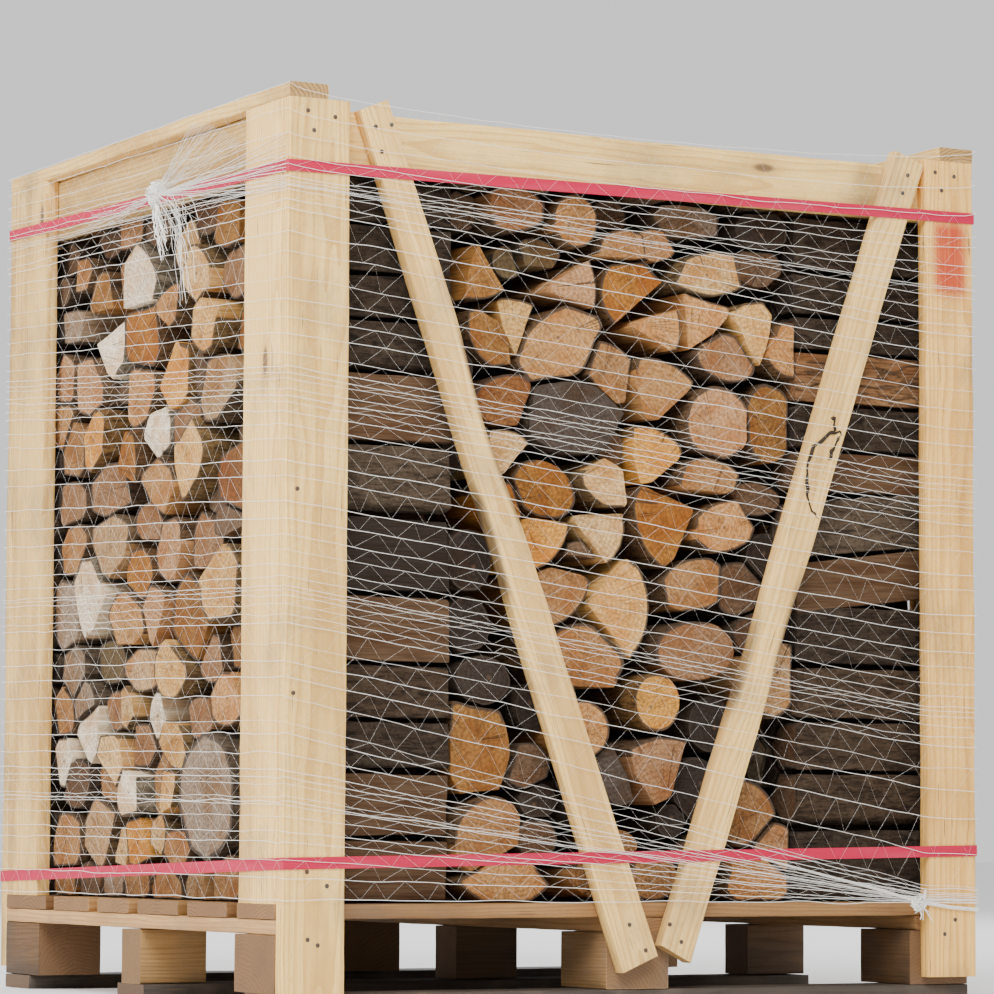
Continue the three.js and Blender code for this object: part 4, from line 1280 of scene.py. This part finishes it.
# Points round a log and sections along it, for the barely seen middle stack and for the rows.
COARSE = (24, 4)
FINE = (56, 36)

# Nearer than these to a side stack's start, in metres, logs lie within 5 mm, or 6 mm, of its face.
FLUSH_END = 0.13
EVEN_END = 0.24

# The side stacks' logs make two pieces, above and below this height.
UPPER_FROM = 0.7

# The top logs stay behind the boards on edge, and on the sides this much farther back.
SIDE_SETBACK = 22 * MM


class FIREWOOD_OT_logs(bpy.types.Operator):
    """Firewood: every log of the front, rear, left, right and middle stacks, with its own shape and tone"""

    bl_idname = "firewood.logs"
    bl_label = "Firewood"

    def execute(self, context):
        settings = context.scene.firewood_logs
        materials = [log_end(), log_side()]
        front_logs = FRONT_LOGS + deep(DEEP_FRONT_LOGS)
        side_logs = SIDE_LOGS + deep(DEEP_SIDE_LOGS) + rows()
        board_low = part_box("top_board_front")[0][2]
        for number, side in enumerate(("front", "rear", "middle", "left", "right"), 1):
            random = np.random.default_rng(number)
            low, high = stack_box(side)
            beside = side in ("left", "right")
            coarse = side == "middle"
            logs = list(side_logs if beside else front_logs)
            for index, log in enumerate(logs):
                if beside and log.get("whole") and not log.get("row"):
                    logs[index] = split(log, random)
            swell = settings.swell * (SIDE_SWELL if beside else 1.0)
            face = low[1] + (0.0 if coarse else settings.scatter / 2)
            behind = PLANK + (SIDE_SETBACK if beside else 0.0) + 0.5 * MM
            groups = {}
            for log in settle(logs, low[[0, 2]], high[[0, 2]], settings.gap, swell):
                start = face + random.uniform(-0.5, 0.5) * settings.scatter
                if beside and log["centre"][0] < FLUSH_END:
                    start = low[1] + random.uniform(0, 5) * MM
                if log.get("deep"):
                    start += settings.recess * random.uniform(0.5, 1.6)
                if beside and log["centre"][0] < EVEN_END:
                    start = min(start, low[1] + 6 * MM)
                if log["centre"][1] + log["radius"].max() > board_low and not coarse:
                    start = max(start, behind)
                key = "stack"
                if beside:
                    key = "row" if log.get("row") else "upper" if log["centre"][1] > UPPER_FROM else "lower"
                if side == "front" and log.get("name"):
                    key = log["name"]
                    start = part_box(key)[0][1] - PALLET_LOW[1]
                build = groups.setdefault(key, Build())
                stop = high[1] - 0.5 * MM
                sizes = COARSE if coarse else FINE if log.get("row") else (settings.sides, settings.sections)
                # SIDE_WASH darkens the side stacks' colour: painted shade of the side faces.
                wash = SIDE_WASH if beside else WASH
                log_body(build, log, start, stop, PLACES[side], random, *sizes, wash)
            for key, build in groups.items():
                if key.startswith("log_front"):
                    build.finish(key.replace("_", "-"), materials, "firewood", [key])
                else:
                    build.finish(f"logs-{side}-{key}", materials, "firewood", [f"firewood_{side}"])
        return {"FINISHED"}


# Net

def wrap(share, proud):
    """The points at shares of the crate's outline, a distance proud of it, and its corners' shares.
    The outline starts at the front left corner and goes right, back, left and forward."""
    width = LENGTH + 2 * proud
    depth = DEPTH + 2 * PLANK + 2 * proud
    corners = np.array([(0, 0), (width, 0), (width, depth), (0, depth), (0, 0)])
    x, y = (np.array([PALLET_LOW[0] - proud, FRONT - proud]) + corners).T
    starts = np.append(0, np.cumsum([width, depth, width, depth]))
    run = share * starts[-1]
    return join(np.interp(run, starts, x), np.interp(run, starts, y)), starts / starts[-1]


# Heights of a strand at the front's two posts, read along the front from the lowest strand to the highest.
FRONT_LEFT_HEIGHTS = np.array([156, 200, 310, 420, 500, 700, 900, 1160, 1250, 1331]) * MM
FRONT_RIGHT_HEIGHTS = np.array([148, 149, 152, 172, 330, 565, 790, 1075, 1200, 1331]) * MM
REAR_LEFT_RISE = (
    np.array([150, 300, 600, 880, 1100, 1250, 1331]) * MM,
    np.array([0, 15, 30, 80, 55, 15, 0]) * MM,
)
SAG = 33 * MM


def sagging(level, share):
    """How far the upper strands hang down from post to post: the root of a half sine."""
    return SAG * np.clip((level - 1.19) / 0.14, 0, 1) * np.sin(math.pi * np.clip(share, 0, 1)) ** 0.5


def strand_heights(level, share, corners):
    """Height of a strand along the outline: straight between its corners' heights, and sagging at the top."""
    right = np.interp(level, FRONT_LEFT_HEIGHTS, FRONT_RIGHT_HEIGHTS)
    rear = level + np.interp(level, *REAR_LEFT_RISE)
    marks = [corners[0], 0.915 * corners[1], *corners[1:]]
    above = level - 1.18
    left = level - 0.75 * above * math.exp(-(above / 0.07) ** 2)
    rear_right = level if right < 0.2 else level * 0.5 + right * 0.5
    heights = [left, left + (right - left) * 0.985, right, rear_right, rear, left]
    height = np.interp(share, marks, heights) - sagging(level, share / corners[1])
    return height - sagging(level, (share - corners[2]) / (corners[3] - corners[2]))


def strand_path(share, corners, proud, level, seed, wave):
    """Points of a strand at shares of the outline: its heights with two ripples of noise, held in the net."""
    place, _ = wrap(share, proud)
    ripple = join(share * 62, seed, 0.5)
    height = strand_heights(level, share, corners)
    height = height + wave * noise(ripple, seed) + 0.8 * MM * noise(ripple * 2.7, seed + 1)
    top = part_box("net")[1][2] - 1.0 * MM
    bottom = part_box("net_tie")[0][2]
    return join(place[:, 0], place[:, 1], np.clip(height, bottom, top))


def outward(path):
    """Directions square to a closed path round the crate: level and outward, and up."""
    ahead = np.roll(path, -1, axis=0) - np.roll(path, 1, axis=0)
    ahead[:, 2] = 0
    ahead = unit(ahead)
    return join(ahead[:, 1], -ahead[:, 0], 0), everywhere(path, UP)


class FIREWOOD_OT_net(bpy.types.Operator):
    """Net: strands round the crate that draw together at the tie, with threads zigzagging between them"""

    bl_idname = "firewood.net"
    bl_label = "Net"

    def execute(self, context):
        settings = context.scene.firewood_net
        material = net_plastic(settings.colour)
        proud = 3.2 * MM
        random = np.random.default_rng(21)
        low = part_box("net")[0][2]
        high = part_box("net")[1][2] - 1.5 * MM
        levels = np.linspace(low, high, settings.rows)
        levels += 24 * MM * np.sin((levels - low) * 2 * math.pi / (high - low) * 4)
        levels[1:-1] += random.uniform(-5.0, 5.0, settings.rows - 2) * MM
        levels = np.sort(levels)
        _, corners = wrap(np.zeros(1), proud)
        around_length = 2 * (LENGTH + DEPTH)
        count = int(around_length / (12 * MM))
        share = np.unique(np.concatenate([np.linspace(0, 1, count, endpoint=False), corners[:-1]]))
        build = Build()
        strands = []
        for number, level in enumerate(levels):
            strand = (level, 3.0 + number * 1.7, random.uniform(1.6, 3.6) * MM)
            path = strand_path(share, corners, proud, *strand)
            tube(build, path, *outward(path), settings.radius * random.uniform(0.75, 1.3), 3, True)
            strands.append(strand)
        build.finish("net-strands", [material], "net", ["net"], 80.0)

        turns = int(around_length / settings.mesh) * 2
        share = np.arange(turns) / turns
        halves = (Build(), Build())
        for number, (under, over) in enumerate(zip(strands, strands[1:])):
            phase = random.uniform(0, 1) + random.uniform(-0.36, 0.36, turns)
            moved = np.sort((share + phase / turns) % 1.0)
            path = strand_path(moved, corners, proud, *under)
            path[1::2] = strand_path(moved, corners, proud, *over)[1::2]
            tube(halves[number % 2], path, *outward(path), settings.thread, 3, True)
        for half, name in zip(halves, ("net-threads-even", "net-threads-odd")):
            half.finish(name, [material], "net", ["net"], 80.0)
        return {"FINISHED"}


def thread(build, start, stop, random, radius, bend, steps, pull=0.0):
    """A thin thread from start to stop: a straight line plus a half-sine bend and a small random ripple."""
    t = np.linspace(0, 1, steps)[:, None]
    start, stop = np.array(start), np.array(stop)
    path = start + (stop - start) * t + np.sin(math.pi * t) * np.array(bend)
    path += np.sin(math.pi * t) * random.uniform(-1, 1, (steps, 3)) * pull
    ahead = ahead_of(path)
    side = unit(np.cross(ahead, (1.0, 0.13, 0.07)))
    tube(build, path, side, np.cross(ahead, side), radius, 3)


class FIREWOOD_OT_net_knot(bpy.types.Operator):
    """Knot: the net's end tied over the upper band on the left face, a fan of strands and a loose tail"""

    bl_idname = "firewood.net_knot"
    bl_label = "Knot and tail"

    def execute(self, context):
        random = np.random.default_rng(33)
        low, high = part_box("net_knot")
        face = PALLET_LOW[0]
        near = face - 3 * MM
        knot = np.array([near, (low[1] + high[1]) / 2, high[2] - 22 * MM])
        build = Build()
        for _ in range(150):
            way = unit(random.normal(0, 1, (2, 3)))
            reach_out = np.array([0.010, 0.026, 0.022]) * random.uniform(0.5, 1.0)
            ends = knot + way * reach_out
            bend = random.normal(0, 6 * MM, 3) * (0.5, 1, 1)
            thread(build, ends[0], ends[1], random, random.uniform(0.6, 1.5) * MM, bend, 7)
        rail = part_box("top_rail_left")[0][2]
        for share in np.linspace(0, 1, 26):
            aim = (near, knot[1] - 0.13 - 0.20 * share, rail + 8 * MM - 0.065 * share ** 1.5)
            thread(build, knot, aim, random, 0.35 * MM, (0, 0, random.uniform(-4, 6) * MM), 13, 2.2 * MM)
        for share in np.linspace(0, 1, 16):
            aim = (near, FRONT + 4 * MM, knot[2] + 0.03 - 0.085 * share)
            bend = (0, 0, random.uniform(-9, 2) * MM)
            thread(build, knot, aim, random, random.uniform(0.4, 0.9) * MM, bend, 11, 1.5 * MM)
        for _ in range(14):
            aim = (face - 2 * MM, knot[1] + random.uniform(0.16, 0.36), knot[2] + random.uniform(-0.03, 0.02))
            thread(build, knot, aim, random, 0.45 * MM, (0, 0, -3 * MM), 9, 1.5 * MM)
        for _ in range(16):
            drop = random.uniform((-3 * MM, -0.05, -0.11), (5 * MM, -0.01, -0.06))
            bend = (random.uniform(-3, 3) * MM, random.uniform(-4, 14) * MM, 0)
            thread(build, knot, knot + drop, random, random.uniform(0.3, 0.8) * MM, bend, 15, 2.6 * MM)
        for _ in range(22):
            drop = random.uniform((-3 * MM, -0.16, -0.19), (3 * MM, -0.07, -0.05))
            bend = (0, random.uniform(-0.035, -0.01), random.uniform(0.01, 0.035))
            thread(build, knot, knot + drop, random, random.uniform(0.2, 0.4) * MM, bend, 17, 3.2 * MM)
        build.finish("net-knot", [bpy.data.materials["net_plastic"]], "net", ["net_knot"], 80.0)
        return {"FINISHED"}


class FIREWOOD_OT_net_tie(bpy.types.Operator):
    """Tie: the net's lower edge twisted into a rope that is knotted over the right post"""

    bl_idname = "firewood.net_tie"
    bl_label = "Tie"

    def execute(self, context):
        random = np.random.default_rng(45)
        build = Build()
        right = PALLET_HIGH[0]
        marks = np.array([
            (right - 0.40, FRONT - 5 * MM, 0.216), (right - 0.19, FRONT - 4 * MM, 0.170),
            (right - 0.112, FRONT - 4 * MM, 0.150), (right - 0.05, FRONT - 4 * MM, 0.141),
            (right + 2.5 * MM, FRONT - 3 * MM, 0.137),
        ])
        t = np.linspace(0, 1, 90)
        path = join(*(np.interp(t, np.linspace(0, 1, len(marks)), column) for column in marks.T))
        for number in range(7):
            turn = 2 * math.pi * (number / 7 + t * 9)
            spread = np.interp(t, [0, 0.3, 0.62, 1.0], [1.2, 1.8, 2.0, 2.0]) * MM
            lay = path + join(0, np.cos(turn) * spread * 0.5, np.sin(turn) * spread)
            sideways, upward = everywhere(lay, FORWARD), everywhere(lay, UP)
            tube(build, lay, sideways, upward, np.interp(t, [0, 0.6], [0.35, 0.95]) * MM, 4)
        knot = np.array([right - 0.112, FRONT - 5 * MM, 0.148])
        for _ in range(70):
            way = unit(random.normal(0, 1, (2, 3)))
            ends = knot + way * np.array([0.014, 0.005, 0.011])
            bend = random.normal(0, 5 * MM, 3) * (1, 0.3, 1)
            thread(build, ends[0], ends[1], random, random.uniform(0.7, 1.5) * MM, bend, 7)
        for _ in range(8):
            aim = knot + np.array([random.uniform(-0.02, 0.03), -2 * MM, random.uniform(-0.03, -0.012)])
            thread(build, knot, aim, random, 0.6 * MM, (3 * MM, 0, 0), 7, 2 * MM)
        build.finish("net-tie", [bpy.data.materials["net_plastic"]], "net", ["net_tie"], 80.0)
        return {"FINISHED"}


# The front's nails: millimetres across from the left edge and up.
NAIL_SPOTS = [
    (140, 1276), (166, 1281), (150, 1240), (1076, 1281), (1066, 1252), (30, 1290), (74, 1284), (40, 1262),
    (1128, 1290), (1164, 1286), (1140, 1262), (38, 196), (70, 176), (40, 100), (56, 92), (1140, 100),
    (1160, 122), (572, 118), (600, 80), (642, 118), (662, 92), (18, 742), (14, 450),
]


class FIREWOOD_OT_nails(bpy.types.Operator):
    """Nails: low domed heads in the posts and braces, on the front and the rear"""

    bl_idname = "firewood.nails"
    bl_label = "Nails"

    def execute(self, context):
        build = Build()
        sides = 10
        angle = np.arange(sides) * 2 * math.pi / sides
        profile = np.array([(3.4, 0.9), (3.3, -0.3), (2.4, -0.75), (1.1, -0.95)]) * MM
        reach_out, rise = profile[:, :1], profile[:, 1:]
        rings = join(reach_out * np.cos(angle), rise, reach_out * np.sin(angle)).reshape(-1, 3)
        head = np.concatenate([rings, [(0, 0.9 * MM, 0), (0, -0.97 * MM, 0)]])
        step = np.arange(sides)
        back = fan(len(rings), step)[:, [0, 2, 1]]
        face = fan(len(rings) + 1, len(rings) - sides + step)
        for x, z in NAIL_SPOTS:
            for side in (1, -1):
                points = head + np.array([PALLET_LOW[0] + x * MM, FRONT, z * MM])
                points[:, :2] *= side
                build.add(points, around(len(profile), sides)[:, ::-1], np.concatenate([back, face]))
        build.finish("nails", [nail_steel()], "band", (), 30.0)
        return {"FINISHED"}


class FIREWOOD_OT_brace_bark(bpy.types.Operator):
    """Bark inclusion: a ragged dark line of bark round an old scar on the right brace, open on its right"""

    bl_idname = "firewood.brace_bark"
    bl_label = "Scar on the brace"

    def execute(self, context):
        lower, upper = brace_corners("brace_front_right")
        build = Build()
        for number, line in enumerate(SCAR_LINES):
            shares, heights = np.array(line).T
            turns = 12 * len(line)
            t = np.linspace(0, 1, turns)
            knots = np.linspace(0, 1, len(line))
            rise = (heights - lower[:, 1].mean()) / (upper[:, 1].mean() - lower[:, 1].mean())
            edges = lower[:, :1] + (upper[:, :1] - lower[:, :1]) * rise
            x = np.interp(t, knots, edges[0] + (edges[1] - edges[0]) * shares)
            z = np.interp(t, knots, heights)
            stray = [noise(join(t * turns / 5, part, 0), 4.0 + number) for part in (0, 9)]
            x = x + 1.6 * MM * stray[0]
            z = z + 1.6 * MM * stray[1]
            path = join(x, FRONT + 0.4 * MM, z)
            out = everywhere(path, FORWARD)
            thick = (2.3 + 1.2 * noise(join(t * turns / 6, 0, 1), 9)) * MM
            thick = thick * np.clip(np.minimum(t, 1 - t) * 9, 0.25, 1)
            tube(
                build, path, np.cross(ahead_of(path), out), out, thick, 6,
                heart=(0.0, 0.05, 0.0), tone=(0.1, 0.08, 0.06, 1.0), seed=3.0, rim=1.0, bark=1.0,
            )
        build.finish("brace-bark", [bpy.data.materials["log_side"]], "firewood", (), 60.0)
        return {"FINISHED"}


class FIREWOOD_PT_panel(bpy.types.Panel):
    """Panel that lists the settings and the steps that build the crate"""

    bl_idname = "FIREWOOD_PT_panel"
    bl_label = "Pallet of firewood"
    bl_space_type = "VIEW_3D"
    bl_region_type = "UI"
    bl_category = "Firewood"

    def draw(self, context):
        layout = self.layout
        for group in SETTINGS:
            box = layout.box()
            settings = getattr(context.scene, group)
            for key in settings.bl_rna.properties.keys():
                if key not in ("rna_type", "name"):
                    box.prop(settings, key)
        for step in STEPS:
            layout.operator(step.bl_idname)


SETTINGS = {
    "firewood_timber": TimberSettings,
    "firewood_logs": FirewoodSettings,
    "firewood_net": NetSettings,
    "firewood_stage": StageSettings,
}
STEPS = (
    FIREWOOD_OT_stage, FIREWOOD_OT_pallet, FIREWOOD_OT_crate, FIREWOOD_OT_braces, FIREWOOD_OT_logs,
    FIREWOOD_OT_brace_bark, FIREWOOD_OT_nails, FIREWOOD_OT_bands, FIREWOOD_OT_net, FIREWOOD_OT_net_knot,
    FIREWOOD_OT_net_tie,
)


KINDS = (*SETTINGS.values(), *STEPS, FIREWOOD_PT_panel)


def register():
    for kind in KINDS:
        bpy.utils.register_class(kind)
    for key, kind in SETTINGS.items():
        setattr(bpy.types.Scene, key, bpy.props.PointerProperty(type=kind))


def unregister():
    for key in SETTINGS:
        delattr(bpy.types.Scene, key)
    for kind in reversed(KINDS):
        bpy.utils.unregister_class(kind)


def main():
    register()
    for step in STEPS:
        group, name = step.bl_idname.split(".")
        getattr(getattr(bpy.ops, group), name)()


if __name__ == "__main__":
    main()
